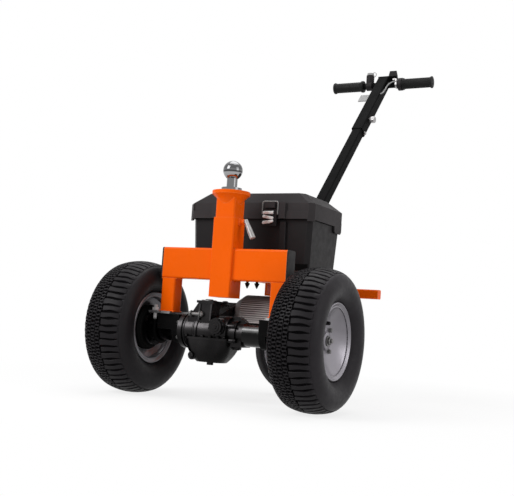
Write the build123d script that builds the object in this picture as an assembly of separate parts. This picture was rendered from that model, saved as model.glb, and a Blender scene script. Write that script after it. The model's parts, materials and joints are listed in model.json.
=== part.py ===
from build123d import *
import math
import os

# Electric trailer dolly: two driven wheels, a hitch ball on a sliding mast, a battery box,
# a swivelling rear wheel and a long sloping tiller with a throttle grip.
# Sizes in mm. Everything is drawn with Y = 0 on the axle and Z = 0 on the floor, the ball
# side facing -Y, and shifted at the end so that the origin lies under the middle.

# Drive wheels
TYRE_R = 165.0
TYRE_W = 127.0
TYRE_CROWN_HALF = 40.0
TYRE_CROWN_RISE = 6.0
TYRE_BULGE = 35.0
RIM_SEAT_R = 77.0
RIM_FLANGE_R = 89.0
RIM_HALF = 46.0
RIM_WALL = 4.0
RIM_LIP = 3.0
RIM_WEB_X = 6.0
RIM_WEB_R = 46.0
RIM_WEB_REACH = 20.0
BEAD_GAP = 1.0
HUB_BORE_R = 12.0
HUB_DRUM_R = 55.0
HUB_DRUM_L = 38.0
HUB_CHAMFER = 6.0
AXLE_NUT_R = 14.0
AXLE_NUT_H = 11.0
AXLE_END_R = 9.0
AXLE_END_L = 5.0
SHAFT_R = 15.0
SHAFT_L = 45.0
RUN_FIT = 0.06
HUB_GAP = 4.0

# Axle, gear casing and motor
AXLE_TUBE_R = 28.5
BEARING_R = 43.0
BEARING_L = 9.0
DRUM_X0 = -95.0
DRUM_X1 = 26.0
DRUM_R = 40.0
FLANGE_LEFT_T = 11.0
FLANGE_LEFT_R = 43.0
FLANGE_RIGHT_T = 20.0
FLANGE_RIGHT_R = 33.0
NECK_L = 17.0
COVER_X = 3.0
COVER_RISE = 14.0
COVER_R = 17.0
COVER_Y = -51.0
COVER_RING_R = 21.0
COVER_RING_Y = -44.0
LUG_TOP = 40.0
LUG_HALF_Y = 8.0
SUMP_X = -28.0
SUMP_HALF_Y = 42.0
SUMP_LEVELS = ((16.0, 62.0, 20.0), (44.0, 56.0, 24.0), (72.0, 37.0, 22.0))
SUMP_LIP = 3.0
SUMP_LIP_T = 5.0
FOOT_LUG_X = 61.0
FOOT_LUG_HALF_Y = 24.0
FOOT_LUG_T = 15.0
PLUG_X = -32.0
PLUG_R = 8.0
PLUG_L = 7.0
GEAR_X0 = -59.0
GEAR_T = 46.0
GEAR_R = 20.0
GEAR_FLANGE_T = 6.0
GEAR_FLANGE_LIP = 3.0
FILLER_W = 40.0
FILLER_TOE = 26.0
FILLER_TOE_RISE = 30.0
FILLER_Y0 = -34.0
FILLER_D = 34.0
FILLER_RISE = 68.0
FILLER_CAP_LIP = 3.0
FILLER_CAP_T = 6.0
MOTOR_Y = 97.0
MOTOR_RISE = 55.0
MOTOR_R = 41.0
MOTOR_L = 110.0
MOTOR_NOSE_R = 27.0
MOTOR_NOSE_L = 22.0
MOTOR_CLEAR = 15.0
MOTOR_BELL_L = 24.0
MOTOR_BELL_R = 33.0
MOTOR_BELL_LIP = 1.5
MOTOR_BELL_RIM = 8.0
MOTOR_TERM_R = 5.0
MOTOR_TERM_L = 10.0
MOTOR_TERM_OUT = 16.0

# Front frame
BEAM_HALF = 168.5
BEAM_H = 76.0
BEAM_D = 38.0
BEAM_Y = -11.0
BEAM_UNDER_RAIL = 11.5
TUBE_WALL = 3.0
TUBE_BEND = 2.0
CAP_T = 4.0
CAP_PLUG_L = 12.0
LEG_W = 38.0
SADDLE_RISE = 37.0
SADDLE_T = 6.0
SADDLE_OUT = 23.0
SADDLE_HALF_Y = 43.0
SADDLE_CLEAR = 2.8
STRAP_IN = 21.0
STRAP_W = 18.0
STRAP_T = 4.5
U_ROD_R = 4.5
U_NUT_R = 8.5
U_NUT_H = 8.0
U_TAIL = 6.0
U_GAP_LEG = 9.5

# Mast and ball
MAST_W = 57.0
MAST_WALL = 2.0
MAST_Y = -10.5
MAST_CLEAR = 10.0
MAST_RISE = 150.0
POST_CLEAR = 0.4
POST_UP = 41.0
POST_FLARE_UP = 34.0
POST_FLARE_H = 23.0
POST_FLARE_R = 27.0
POST_FLARE_SAG = 3.0
FLANGE_R = 46.0
FLANGE_T = 8.0
BALL_R = 23.8
BALL_RISE = 52.0
BALL_FLAT = 1.0
BALL_NECK_R = 13.0
BALL_BASE_R = 25.0
BALL_BASE_T = 9.0
CLAMP_DOWN = 8.0
CLAMP_BOSS_R = 10.0
CLAMP_BOSS_L = 9.0
CLAMP_SCREW_R = 6.5
CLAMP_NECK_L = 15.0
CLAMP_LEVER_L = 42.0
CLAMP_LEVER_TILT = 24.0
CLAMP_END_R = 7.0

# Rear frame
BAR = 25.0
RAIL_X = 50.0
STUB_X = 250.0
STUB_END_T = 3.0
REAR_BAR_BEHIND = 84.5
TRAY_T = 3.0
TRAY_LIP = 14.0
TAIL_PLATE_T = 6.0
TAIL_GAP = 18.0

# Battery box
BOX_Y0 = 95.0
BOX_D = 177.0
BOX_HALF = 169.0
BOX_H = 122.5
BOX_DRAFT = 6.0
BOX_WALL = 4.0
BOX_CORNER = 11.0
BOX_BACK_CORNER = 3.0
BOX_RIB_X = 95.0
BOX_RIB_W = 16.0
BOX_RIB_T = 8.0
BOX_RIB_CORNER = 1.5
BATTERY_GAP_X = 20.0
BATTERY_GAP_Y = 13.5
BATTERY_DOWN = 23.5
LID_OVER_FRONT = 8.0
LID_OVER_BACK = 17.0
LID_OVER_SIDE = 5.0
LID_WALL = 3.5
LID_GAP = 1.0
LID_SKIRT_H = 40.0
LID_ROOF_H = 27.0
LID_ROOF_IN_X = 36.0
LID_ROOF_IN_Y = 20.0
LID_CORNER = 12.0
LID_STRIP_H = 19.0
LID_STRIP_T = 3.0
LID_POST_T = 2.5
LID_POST_HANG = 5.0
LID_POST_DOWN = 3.0
HINGE_IN = 6.0
HINGE_DOWN = 7.0
HINGE_PIN_R = 5.0
EAR_DROP = 9.0
EAR_FRONT = 34.0
EAR_BACK = 12.0
EAR_CUT = 6.0
LATCH_X = 62.0
LATCH_W = 38.0
LATCH_H = 40.0
LATCH_T = 4.0
LATCH_OFF = 5.0
LATCH_RISE = 22.0
LATCH_RIB = 4.0
LATCH_RIB_T = 2.0
LATCH_RIB_STEP = 8.0
LATCH_RIBS = 4
LATCH_MARGIN = 5.0
BAIL_R = 2.0
BAIL_LAP = 12.0
BAIL_BEND = 5.0
HOOK_HALF = 13.0
HOOK_H = 14.0
HOOK_OUT = 2.0

# Rear swivel wheel
CASTER_R = 127.0
CASTER_W = 64.0
CASTER_TRAIL = 50.0
CASTER_TURN = -55.0
CASTER_TYRE_H = 20.0
CASTER_CROWN_HALF = 14.0
CASTER_CROWN_RISE = 2.5
CASTER_SEAT_IN = 5.0
CASTER_WEB_T = 6.0
CASTER_LIP = 6.0
CASTER_HUB_R = 24.0
CASTER_HUB_GAP = 1.0
CASTER_BOLT_R = 8.0
CASTER_BOLT_OUT = 9.0
CASTER_NUT_R = 13.5
CASTER_NUT_H = 7.0
KING_BEHIND = 50.0
CROWN_T = 5.0
CROWN_CLEAR = 5.5
CROWN_W = 96.0
FORK_T = 5.0
FORK_GAP = 7.0
FORK_END_R = 20.0
RACE_R = 30.0
RACE_H = 3.5
RACE_GAP = 0.5
KING_R = 9.0
TOP_PLATE_T = 5.0
TOP_PLATE_HALF_Y = 33.0
BRACKET_T = 6.0
BRACKET_H = 28.5

# Tiller
TILT = 45.9
FOOT_IN = 28.0
STEM_W = 32.0
STEM_WALL = 2.5
SOCKET_FROM = 26.0
SOCKET_TO = 150.0
STEM_FROM = 30.0
CHEEK_T = 5.0
CHEEK_TOE = 14.0
CHEEK_SHORT = 8.0
SLEEVE_W = 38.0
SLEEVE_CLEAR = 0.5
BAR_REACH = 1001.2
SLEEVE_LEN = 332.0
SLEEVE_OVER = 31.0
STEM_IN_SLEEVE = 130.0
END_PLATE_T = 3.0
END_PLATE_OUT = 30.0
HANDLE_R = 11.0
CONTROL_L = 48.0
GRIP_R = 17.5
GRIP_L = 115.0
GRIP_END_R = 20.0
GRIP_END_L = 6.0
THROTTLE_GAP = 42.0
THROTTLE_L = 13.0
THROTTLE_R = 22.0
KEY_GAP = 27.0
KEY_R = 14.0
KEY_H = 38.0
KEY_CLAMP_R = 16.0
KEY_CLAMP_L = 20.0
KEY_TOP_R = 11.5
KEY_TOP_H = 8.0
PAD_W = 33.0
PAD_D = 27.0
PAD_H = 19.0
PAD_LEAN = 18.0
PAD_TAPER = 4.0
KNOB_FROM_LOW = 75.0
KNOB_R = 11.0
KNOB_L = 14.0
KNOB_NECK_R = 5.0
KNOB_NECK_L = 5.0
KNOB_SINK = 2.0
TAG_W = 46.0
TAG_L = 40.0
TAG_T = 3.0
TAG_BELOW = 4.0
TAG_DOWN = 52.0
CABLE_R = 2.5
CABLE_BEND = 9.0
CABLE_OFF = 10.0
CABLE_Y = -14.5
CABLE_DOWN = 82.0

# Values that follow from the sizes above
axle_z = TYRE_R
stack = 2 * CASTER_R + CROWN_CLEAR + CROWN_T + RACE_H + TOP_PLATE_T
rail_low = max(stack + BRACKET_H, axle_z + MOTOR_RISE + MOTOR_R + MOTOR_CLEAR)
rail_top = rail_low + BAR
rail_z = rail_low + BAR / 2
beam_low = rail_low - BEAM_UNDER_RAIL
beam_z = beam_low + BEAM_H / 2
beam_back = BEAM_Y + BEAM_D / 2
saddle_low = axle_z + SADDLE_RISE
leg_low = saddle_low + SADDLE_T
leg_x = BEAM_HALF - LEG_W / 2
axle_end = BEAM_HALF + SADDLE_OUT + SADDLE_CLEAR + BEARING_L
hub_in = axle_end + HUB_GAP
wheel_x = hub_in + HUB_DRUM_L
tube_left = DRUM_X0 - FLANGE_LEFT_T
tube_right = DRUM_X1 + FLANGE_RIGHT_T + NECK_L
gear_x1 = GEAR_X0 + GEAR_T
filler_top = axle_z + FILLER_RISE + FILLER_CAP_T
motor_z = axle_z + MOTOR_RISE
mast_low = filler_top + MAST_CLEAR
mast_top = beam_low + MAST_RISE
post_w = MAST_W - 2 * MAST_WALL - 2 * POST_CLEAR
flare_z = mast_top + POST_FLARE_UP
flange_z = flare_z + POST_FLARE_H
ball_z = flange_z + FLANGE_T + BALL_RISE
clamp_z = mast_top - CLAMP_DOWN
box_low = rail_top + TRAY_T
box_top = box_low + BOX_H
box_y1 = BOX_Y0 + BOX_D
lid_half = BOX_HALF + LID_OVER_SIDE
lid_y0 = BOX_Y0 - LID_OVER_FRONT
lid_y1 = box_y1 + LID_OVER_BACK
lid_low = box_top + LID_GAP
lid_eave = lid_low + LID_SKIRT_H
hinge_y = box_y1 - HINGE_IN
hinge_z = box_top - HINGE_DOWN
tail_y0 = box_y1 + TAIL_GAP
tail_top = rail_top + TAIL_PLATE_T
rear_bar_front = tail_y0 + REAR_BAR_BEHIND
king_y = tail_y0 + KING_BEHIND
crown_low = 2 * CASTER_R + CROWN_CLEAR
crown_top = crown_low + CROWN_T
plate_top = rail_low - BRACKET_H
plate_low = plate_top - TOP_PLATE_T
fork_x = CASTER_W / 2 + FORK_GAP
foot_y = tail_y0 + FOOT_IN
foot_z = tail_top
ca = math.cos(math.radians(TILT))
sa = math.sin(math.radians(TILT))
sleeve_half = SLEEVE_W / 2
sleeve_bore = STEM_W + 2 * SLEEVE_CLEAR
sleeve_top = BAR_REACH + SLEEVE_OVER
sleeve_low = sleeve_top - SLEEVE_LEN
stem_top = sleeve_low + STEM_IN_SLEEVE
handle_half = sleeve_half + CONTROL_L + GRIP_L
throttle_x0 = sleeve_half + THROTTLE_GAP
throttle_x1 = throttle_x0 + THROTTLE_L
key_x = -sleeve_half - KEY_GAP
knob_z = sleeve_low + KNOB_FROM_LOW
TILLER = Pos(0, foot_y, foot_z) * Rot(TILT - 90, 0, 0)
CASTER = Pos(0, king_y, 0) * Rot(0, 0, CASTER_TURN)


def block(x0, x1, y0, y1, z0, z1):
    return Pos((x0 + x1) / 2, (y0 + y1) / 2, (z0 + z1) / 2) * Box(x1 - x0, y1 - y0, z1 - z0)


def rod_x(x0, x1, y, z, r):
    return Pos((x0 + x1) / 2, y, z) * Rot(0, 90, 0) * Cylinder(r, abs(x1 - x0))


def rod_y(x, y0, y1, z, r):
    return Pos(x, (y0 + y1) / 2, z) * Rot(90, 0, 0) * Cylinder(r, abs(y1 - y0))


def rod_z(x, y, z0, z1, r):
    return Pos(x, y, (z0 + z1) / 2) * Cylinder(r, z1 - z0)


def bar(axis, at, length, w, h, corner):
    # A bar with rounded edges that starts at a point and runs along one axis.
    planes = {"x": Plane(at, x_dir=(0, 1, 0), z_dir=(1, 0, 0)),
              "y": Plane(at, x_dir=(1, 0, 0), z_dir=(0, 1, 0)),
              "z": Plane(at, x_dir=(1, 0, 0), z_dir=(0, 0, 1))}
    return extrude(planes[axis] * RectangleRounded(w, h, corner), amount=length)


def tube(axis, at, length, w, h, wall):
    outer = bar(axis, at, length, w, h, wall + TUBE_BEND)
    return outer - bar(axis, at, length, w - 2 * wall, h - 2 * wall, TUBE_BEND)


def plug(axis, at, w, h, wall):
    # A moulded cap: a tongue inside the tube's end and a plate over it.
    back = tuple(v - CAP_PLUG_L if axis == "xyz"[i] else v for i, v in enumerate(at))
    tongue = bar(axis, back, CAP_PLUG_L, w - 2 * wall, h - 2 * wall, TUBE_BEND)
    return tongue + bar(axis, at, CAP_T, w, h, wall + TUBE_BEND)


def cut_rect(x0, x1, y0, y1, corner, z, back=None):
    b = corner if back is None else back
    pts = [(x0 + corner, y0), (x1 - corner, y0), (x1, y0 + corner), (x1, y1 - b),
           (x1 - b, y1), (x0 + b, y1), (x0, y1 - b), (x0, y0 + corner)]
    return Pos(0, 0, z) * Polygon(*pts, align=None)


def turned_x(profile, y, z):
    # The profile is a list of (along X, radius) points closed by its own last side.
    face = make_face(Polyline(*profile, close=True))
    return Pos(0, y, z) * revolve(face, Axis.X)


def prism_yz(points, x0, x1):
    face = make_face(Polyline(*[(0, y, z) for y, z in points], close=True))
    return Pos(x0, 0, 0) * extrude(face, amount=x1 - x0, dir=(1, 0, 0))


def prism_xz(points, y0, y1):
    face = make_face(Polyline(*[(x, 0, z) for x, z in points], close=True))
    return Pos(0, y0, 0) * extrude(face, amount=y1 - y0, dir=(0, 1, 0))


def mirrored(piece):
    return [piece, mirror(piece, Plane.YZ)]


def tyre_section(half, seat, bead_r, wide_r, crown_half, crown_rise, r, foot_r):
    # Two side arcs that stand upright at the widest place, a flat crown arc and the bead seat.
    sides = []
    for s in (1, -1):
        wide = (s * half, wide_r)
        sides.append(TangentArc(wide, (s * crown_half, r - crown_rise), tangent=(0, 1)))
        sides.append(TangentArc(wide, (s * seat, bead_r), tangent=(0, -1)))
    crown = ThreePointArc((crown_half, r - crown_rise), (0, r), (-crown_half, r - crown_rise))
    foot = Polyline((seat, bead_r), (seat, foot_r), (-seat, foot_r), (-seat, bead_r))
    return make_face(sides + [crown, foot])


def tyre():
    lip = RIM_FLANGE_R + BEAD_GAP
    face = tyre_section(TYRE_W / 2, RIM_HALF - RIM_WALL, lip, lip + TYRE_BULGE, TYRE_CROWN_HALF,
                        TYRE_CROWN_RISE, TYRE_R, RIM_SEAT_R)
    return Pos(wheel_x, 0, axle_z) * revolve(face, Axis.X)


def rim():
    # A barrel with two flanges, and a deep dish that curves out of the barrel to a flat middle.
    seat = RIM_HALF - RIM_WALL
    inner = RIM_SEAT_R - RIM_WALL
    lip = RIM_FLANGE_R - RIM_LIP
    barrel = [(-RIM_HALF, RIM_FLANGE_R), (-seat, RIM_FLANGE_R), (-seat, RIM_SEAT_R),
              (seat, RIM_SEAT_R), (seat, RIM_FLANGE_R), (RIM_HALF, RIM_FLANGE_R),
              (RIM_HALF, lip), (seat, inner), (-seat, inner), (-RIM_HALF, lip)]
    x1 = RIM_WEB_X
    x0 = RIM_WEB_X - RIM_WALL
    root = inner + RIM_WALL / 2
    front = TangentArc((x1, RIM_WEB_R), (x1 + RIM_WEB_REACH, root), tangent=(0, 1))
    rear = TangentArc((x0, RIM_WEB_R), (x0 + RIM_WEB_REACH - RIM_WALL, root), tangent=(0, 1))
    web = make_face([front, Line(front @ 1, rear @ 1), rear,
                     Polyline(rear @ 0, (x0, HUB_BORE_R), (x1, HUB_BORE_R), front @ 0)])
    dish = Pos(0, 0, axle_z) * revolve(web, Axis.X)
    return Pos(wheel_x, 0, 0) * (turned_x(barrel, 0, axle_z) + dish)


def hub():
    # The drum behind the dish, the shaft into the axle tube, and the axle's end with its nut.
    back = RIM_WEB_X - RIM_WALL
    nut_end = RIM_WEB_X + AXLE_NUT_H
    drum = [(-HUB_DRUM_L, 0), (-HUB_DRUM_L, HUB_DRUM_R - HUB_CHAMFER),
            (-HUB_DRUM_L + HUB_CHAMFER, HUB_DRUM_R), (back, HUB_DRUM_R), (back, HUB_BORE_R),
            (RIM_WEB_X, HUB_BORE_R), (RIM_WEB_X, AXLE_END_R), (nut_end + AXLE_END_L, AXLE_END_R),
            (nut_end + AXLE_END_L, 0)]
    body = Pos(wheel_x, 0, 0) * turned_x(drum, 0, axle_z)
    nut = extrude(Plane((wheel_x + RIM_WEB_X, 0, axle_z), z_dir=(1, 0, 0))
                  * RegularPolygon(AXLE_NUT_R, 6), amount=AXLE_NUT_H)
    return body + nut + rod_x(axle_end - SHAFT_L, hub_in, 0, axle_z, SHAFT_R)


def axle_tube(side, inner_end):
    end = side * axle_end
    piece = rod_x(inner_end, end, 0, axle_z, AXLE_TUBE_R)
    piece += rod_x(end - side * BEARING_L, end, 0, axle_z, BEARING_R)
    bore_end = end - side * (SHAFT_L + HUB_GAP)
    return piece - rod_x(bore_end, end, 0, axle_z, SHAFT_R + RUN_FIT)


def sump():
    # A rounded oil pan under the drum, with a bolting lip, a foot to the right and a drain plug.
    levels = []
    for drop, half, corner in SUMP_LEVELS:
        wide = half * SUMP_HALF_Y / SUMP_LEVELS[0][1]
        levels.append(Pos(SUMP_X, 0, axle_z - drop) * RectangleRounded(2 * half, 2 * wide, corner))
    top, half, corner = SUMP_LEVELS[0]
    low = axle_z - SUMP_LEVELS[-1][0]
    pan = loft(levels)
    pan += bar("z", (SUMP_X, 0, axle_z - top - SUMP_LIP_T / 2), SUMP_LIP_T, 2 * (half + SUMP_LIP),
               2 * (SUMP_HALF_Y + SUMP_LIP), corner + SUMP_LIP)
    pan += block(SUMP_X, FOOT_LUG_X, -FOOT_LUG_HALF_Y, FOOT_LUG_HALF_Y, axle_z - top - FOOT_LUG_T,
                 axle_z - top)
    return pan + rod_z(PLUG_X, 0, low - PLUG_L, low, PLUG_R)


def diff_case():
    # A cast drum between two flanges, a bearing cover in front, a lug and the sump.
    body = rod_x(DRUM_X0, DRUM_X1, 0, axle_z, DRUM_R)
    body += rod_x(tube_left, DRUM_X0, 0, axle_z, FLANGE_LEFT_R)
    flange_end = DRUM_X1 + FLANGE_RIGHT_T
    body += rod_x(DRUM_X1, flange_end, 0, axle_z, FLANGE_RIGHT_R)
    body += rod_x(flange_end, tube_right, 0, axle_z, AXLE_TUBE_R)
    cover_z = axle_z + COVER_RISE
    body += rod_y(COVER_X, COVER_Y, 0, cover_z, COVER_R)
    body += rod_y(COVER_X, COVER_RING_Y, 0, cover_z, COVER_RING_R)
    body += prism_xz([(DRUM_X1, axle_z), (DRUM_X1, axle_z + LUG_TOP), (flange_end, axle_z + LUG_TOP),
                      (tube_right, axle_z + AXLE_TUBE_R), (tube_right, axle_z)],
                     -LUG_HALF_Y, LUG_HALF_Y)
    return body + sump() - gear_case()


def gear_shape(x0, x1, lip):
    # A flat casing that joins the axle's gear to the motor's pinion by common tangents.
    r0 = DRUM_R + lip
    r1 = GEAR_R + lip
    reach = math.hypot(MOTOR_Y, MOTOR_RISE)
    turn = math.atan2(MOTOR_RISE, MOTOR_Y)
    lean = math.asin((r0 - r1) / reach)
    pts = []
    for along, r, sign in ((0, r0, 1), (reach, r1, 1), (reach, r1, -1), (0, r0, -1)):
        a = along + r * math.sin(lean)
        b = sign * r * math.cos(lean)
        pts.append((a * math.cos(turn) - b * math.sin(turn),
                    axle_z + a * math.sin(turn) + b * math.cos(turn)))
    ends = rod_x(x0, x1, 0, axle_z, r0) + rod_x(x0, x1, MOTOR_Y, motor_z, r1)
    return ends + prism_yz(pts, x0, x1)


def gear_case():
    case = gear_shape(GEAR_X0, gear_x1, 0)
    case += gear_shape(GEAR_X0, GEAR_X0 + GEAR_FLANGE_T, GEAR_FLANGE_LIP)
    mid = (GEAR_X0 + gear_x1) / 2
    y1 = FILLER_Y0 + FILLER_D
    cap_low = axle_z + FILLER_RISE
    lip = FILLER_CAP_LIP
    half = FILLER_W / 2
    toe = axle_z + FILLER_TOE_RISE
    case += prism_xz([(mid - half - FILLER_TOE, axle_z), (mid - half - FILLER_TOE, toe),
                      (mid - half, cap_low), (mid + half, cap_low), (mid + half, axle_z)],
                     FILLER_Y0, y1)
    return case + block(mid - half - lip, mid + half + lip, FILLER_Y0 - lip, y1 + lip, cap_low,
                        filler_top)


def motor():
    x0 = gear_x1
    x1 = x0 + MOTOR_L
    profile = [(x0, 0), (x0, MOTOR_NOSE_R), (x0 + MOTOR_NOSE_L, MOTOR_R), (x1, MOTOR_R), (x1, 0)]
    return turned_x(profile, MOTOR_Y, motor_z)


def motor_bell():
    x0 = gear_x1 + MOTOR_L
    x1 = x0 + MOTOR_BELL_L
    rim_r = MOTOR_R + MOTOR_BELL_LIP
    profile = [(x0, 0), (x0, rim_r), (x0 + MOTOR_BELL_RIM, rim_r), (x1, MOTOR_BELL_R), (x1, 0)]
    bell = turned_x(profile, MOTOR_Y, motor_z)
    for dy in (-MOTOR_TERM_OUT, MOTOR_TERM_OUT):
        bell += rod_x(x1, x1 + MOTOR_TERM_L, MOTOR_Y + dy, motor_z, MOTOR_TERM_R)
    return bell


def leg():
    return tube("z", (leg_x, BEAM_Y, leg_low), beam_low - leg_low, LEG_W, LEG_W, TUBE_WALL)


def saddle():
    # A flat plate welded under the leg, drilled for the U-bolt outside it.
    x0 = leg_x - LEG_W / 2
    x1 = leg_x + LEG_W / 2 + SADDLE_OUT
    plate = block(x0, x1, -SADDLE_HALF_Y, SADDLE_HALF_Y, saddle_low, leg_low)
    for y in (-1, 1):
        plate -= rod_z(u_x(), y * (AXLE_TUBE_R + U_ROD_R), saddle_low, leg_low, U_ROD_R)
    return plate


def strap():
    # A block hollowed to sit on the axle tube under the plate, with a closed band beside it.
    x1 = leg_x + LEG_W / 2
    x0 = leg_x - LEG_W / 2 - STRAP_IN
    r = AXLE_TUBE_R + STRAP_T
    body = block(x0, x1, -r, r, axle_z, saddle_low)
    body += rod_x(x0, x0 + STRAP_W, 0, axle_z, r)
    return body - rod_x(x0, x1, 0, axle_z, AXLE_TUBE_R)


def u_x():
    return leg_x + LEG_W / 2 + U_GAP_LEG


def u_bolt():
    x = u_x()
    r = AXLE_TUBE_R + U_ROD_R
    top = leg_low + U_NUT_H + U_TAIL
    path = Line((x, r, top), (x, r, axle_z)) + \
        ThreePointArc((x, r, axle_z), (x, 0, axle_z - r), (x, -r, axle_z)) + \
        Line((x, -r, axle_z), (x, -r, top))
    rod = sweep(Plane((x, r, top), z_dir=(0, 0, -1)) * Circle(U_ROD_R), path=path)
    for y in (-r, r):
        rod += Pos(x, y, leg_low) * extrude(RegularPolygon(U_NUT_R, 6), amount=U_NUT_H)
    return rod


def beam_half():
    x0 = MAST_W / 2
    return tube("x", (x0, BEAM_Y, beam_z), BEAM_HALF - x0, BEAM_D, BEAM_H, TUBE_WALL)


def mast_tube():
    piece = tube("z", (0, MAST_Y, mast_low), mast_top - mast_low, MAST_W, MAST_W, MAST_WALL)
    return piece - rod_x(0, MAST_W, MAST_Y, clamp_z, CLAMP_SCREW_R)


def mast_clamp():
    # A boss welded on the mast's side and a bent lever screw through it.
    x0 = MAST_W / 2
    piece = rod_x(x0, x0 + CLAMP_BOSS_L, MAST_Y, clamp_z, CLAMP_BOSS_R)
    x2 = x0 + CLAMP_BOSS_L + CLAMP_NECK_L
    piece += rod_x(x0 - MAST_WALL, x2, MAST_Y, clamp_z, CLAMP_SCREW_R)
    lever = Cylinder(CLAMP_SCREW_R, CLAMP_LEVER_L, align=(Align.CENTER, Align.CENTER, Align.MAX))
    lever += Sphere(CLAMP_SCREW_R)
    lever += Pos(0, 0, -CLAMP_LEVER_L) * Sphere(CLAMP_END_R)
    return piece + Pos(x2, MAST_Y, clamp_z) * Rot(0, -CLAMP_LEVER_TILT, 0) * lever


def mast_post():
    low = mast_low + POST_UP
    post = tube("z", (0, MAST_Y, low), flange_z - low, post_w, post_w, TUBE_WALL)
    mid = ((POST_FLARE_R + FLANGE_R) / 2 - POST_FLARE_SAG, (flare_z + flange_z) / 2)
    curve = ThreePointArc((POST_FLARE_R, flare_z), mid, (FLANGE_R, flange_z))
    rest = Polyline((FLANGE_R, flange_z), (FLANGE_R, flange_z + FLANGE_T),
                    (0, flange_z + FLANGE_T), (0, flare_z), (POST_FLARE_R, flare_z))
    face = Rot(90, 0, 0) * make_face([curve, rest])
    return post + Pos(0, MAST_Y, 0) * revolve(face, Axis.Z)


def hitch_ball():
    z0 = flange_z + FLANGE_T
    ball = Pos(0, MAST_Y, ball_z) * Sphere(BALL_R)
    ball += rod_z(0, MAST_Y, z0, ball_z, BALL_NECK_R)
    ball += rod_z(0, MAST_Y, z0, z0 + BALL_BASE_T, BALL_BASE_R)
    return ball - Pos(0, MAST_Y, ball_z + BALL_R) * Box(2 * BALL_R, 2 * BALL_R, 2 * BALL_FLAT)


def rail():
    at = (RAIL_X, beam_back, rail_z)
    return tube("y", at, rear_bar_front - beam_back, BAR, BAR, TUBE_WALL)


def rear_bar():
    # A cross tube behind the rails, with a closed stub bar under it that reaches out to the right.
    y = rear_bar_front + BAR / 2
    x0 = RAIL_X - BAR / 2
    cross = tube("x", (-RAIL_X - BAR / 2, y, rail_z), 2 * RAIL_X + BAR, BAR, BAR, TUBE_WALL)
    at = (x0, y, rail_low - BAR / 2)
    stub = tube("x", at, STUB_X - STUB_END_T - x0, BAR, BAR, TUBE_WALL)
    end = (STUB_X - STUB_END_T, y, rail_low - BAR / 2)
    stub += bar("x", end, STUB_END_T, BAR, BAR, TUBE_WALL + TUBE_BEND)
    return [cross, stub]


def tray():
    y0 = BOX_Y0 - TRAY_T
    y1 = box_y1 - BOX_DRAFT + TRAY_T
    lip_top = box_low + TRAY_LIP
    piece = block(-BOX_HALF, BOX_HALF, y0, y1, rail_top, box_low)
    piece += block(-BOX_HALF, BOX_HALF, y0 - TRAY_T, y0, rail_top, lip_top)
    return piece + block(-BOX_HALF, BOX_HALF, y1, y1 + TRAY_T, rail_top, lip_top)


def box_body():
    # Tapered tub: the walls lean outwards going up, with two ribs beside the latch bay.
    d, c, b, w = BOX_DRAFT, BOX_CORNER, BOX_BACK_CORNER, BOX_WALL
    y0, y1, h = BOX_Y0, box_y1, BOX_HALF
    outer = loft([cut_rect(-h + d, h - d, y0 + d, y1 - d, c, box_low, b),
                  cut_rect(-h, h, y0, y1, c, box_top, b)])
    inner = loft([cut_rect(-h + d + w, h - d - w, y0 + d + w, y1 - d - w, c, box_low + w, b),
                  cut_rect(-h + w, h - w, y0 + w, y1 - w, c, box_top, b)])
    tub = outer - inner
    for x in (-BOX_RIB_X, BOX_RIB_X):
        x0 = x - BOX_RIB_W / 2
        x1 = x + BOX_RIB_W / 2
        k = BOX_RIB_CORNER
        tub += loft([cut_rect(x0, x1, y0 + d - BOX_RIB_T, y0 + d + w / 2, k, box_low),
                     cut_rect(x0, x1, y0 - BOX_RIB_T, y0 + w / 2, k, box_top - d)])
    pin = rod_x(h - w, lid_half, hinge_y, hinge_z, HINGE_PIN_R)
    return tub + pin + mirror(pin, Plane.YZ)


def battery():
    side = BOX_WALL + BOX_DRAFT
    half = BOX_HALF - side - BATTERY_GAP_X
    gap = side + BATTERY_GAP_Y
    return block(-half, half, BOX_Y0 + gap, box_y1 - gap, box_low + BOX_WALL,
                 box_top - BATTERY_DOWN)


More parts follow.
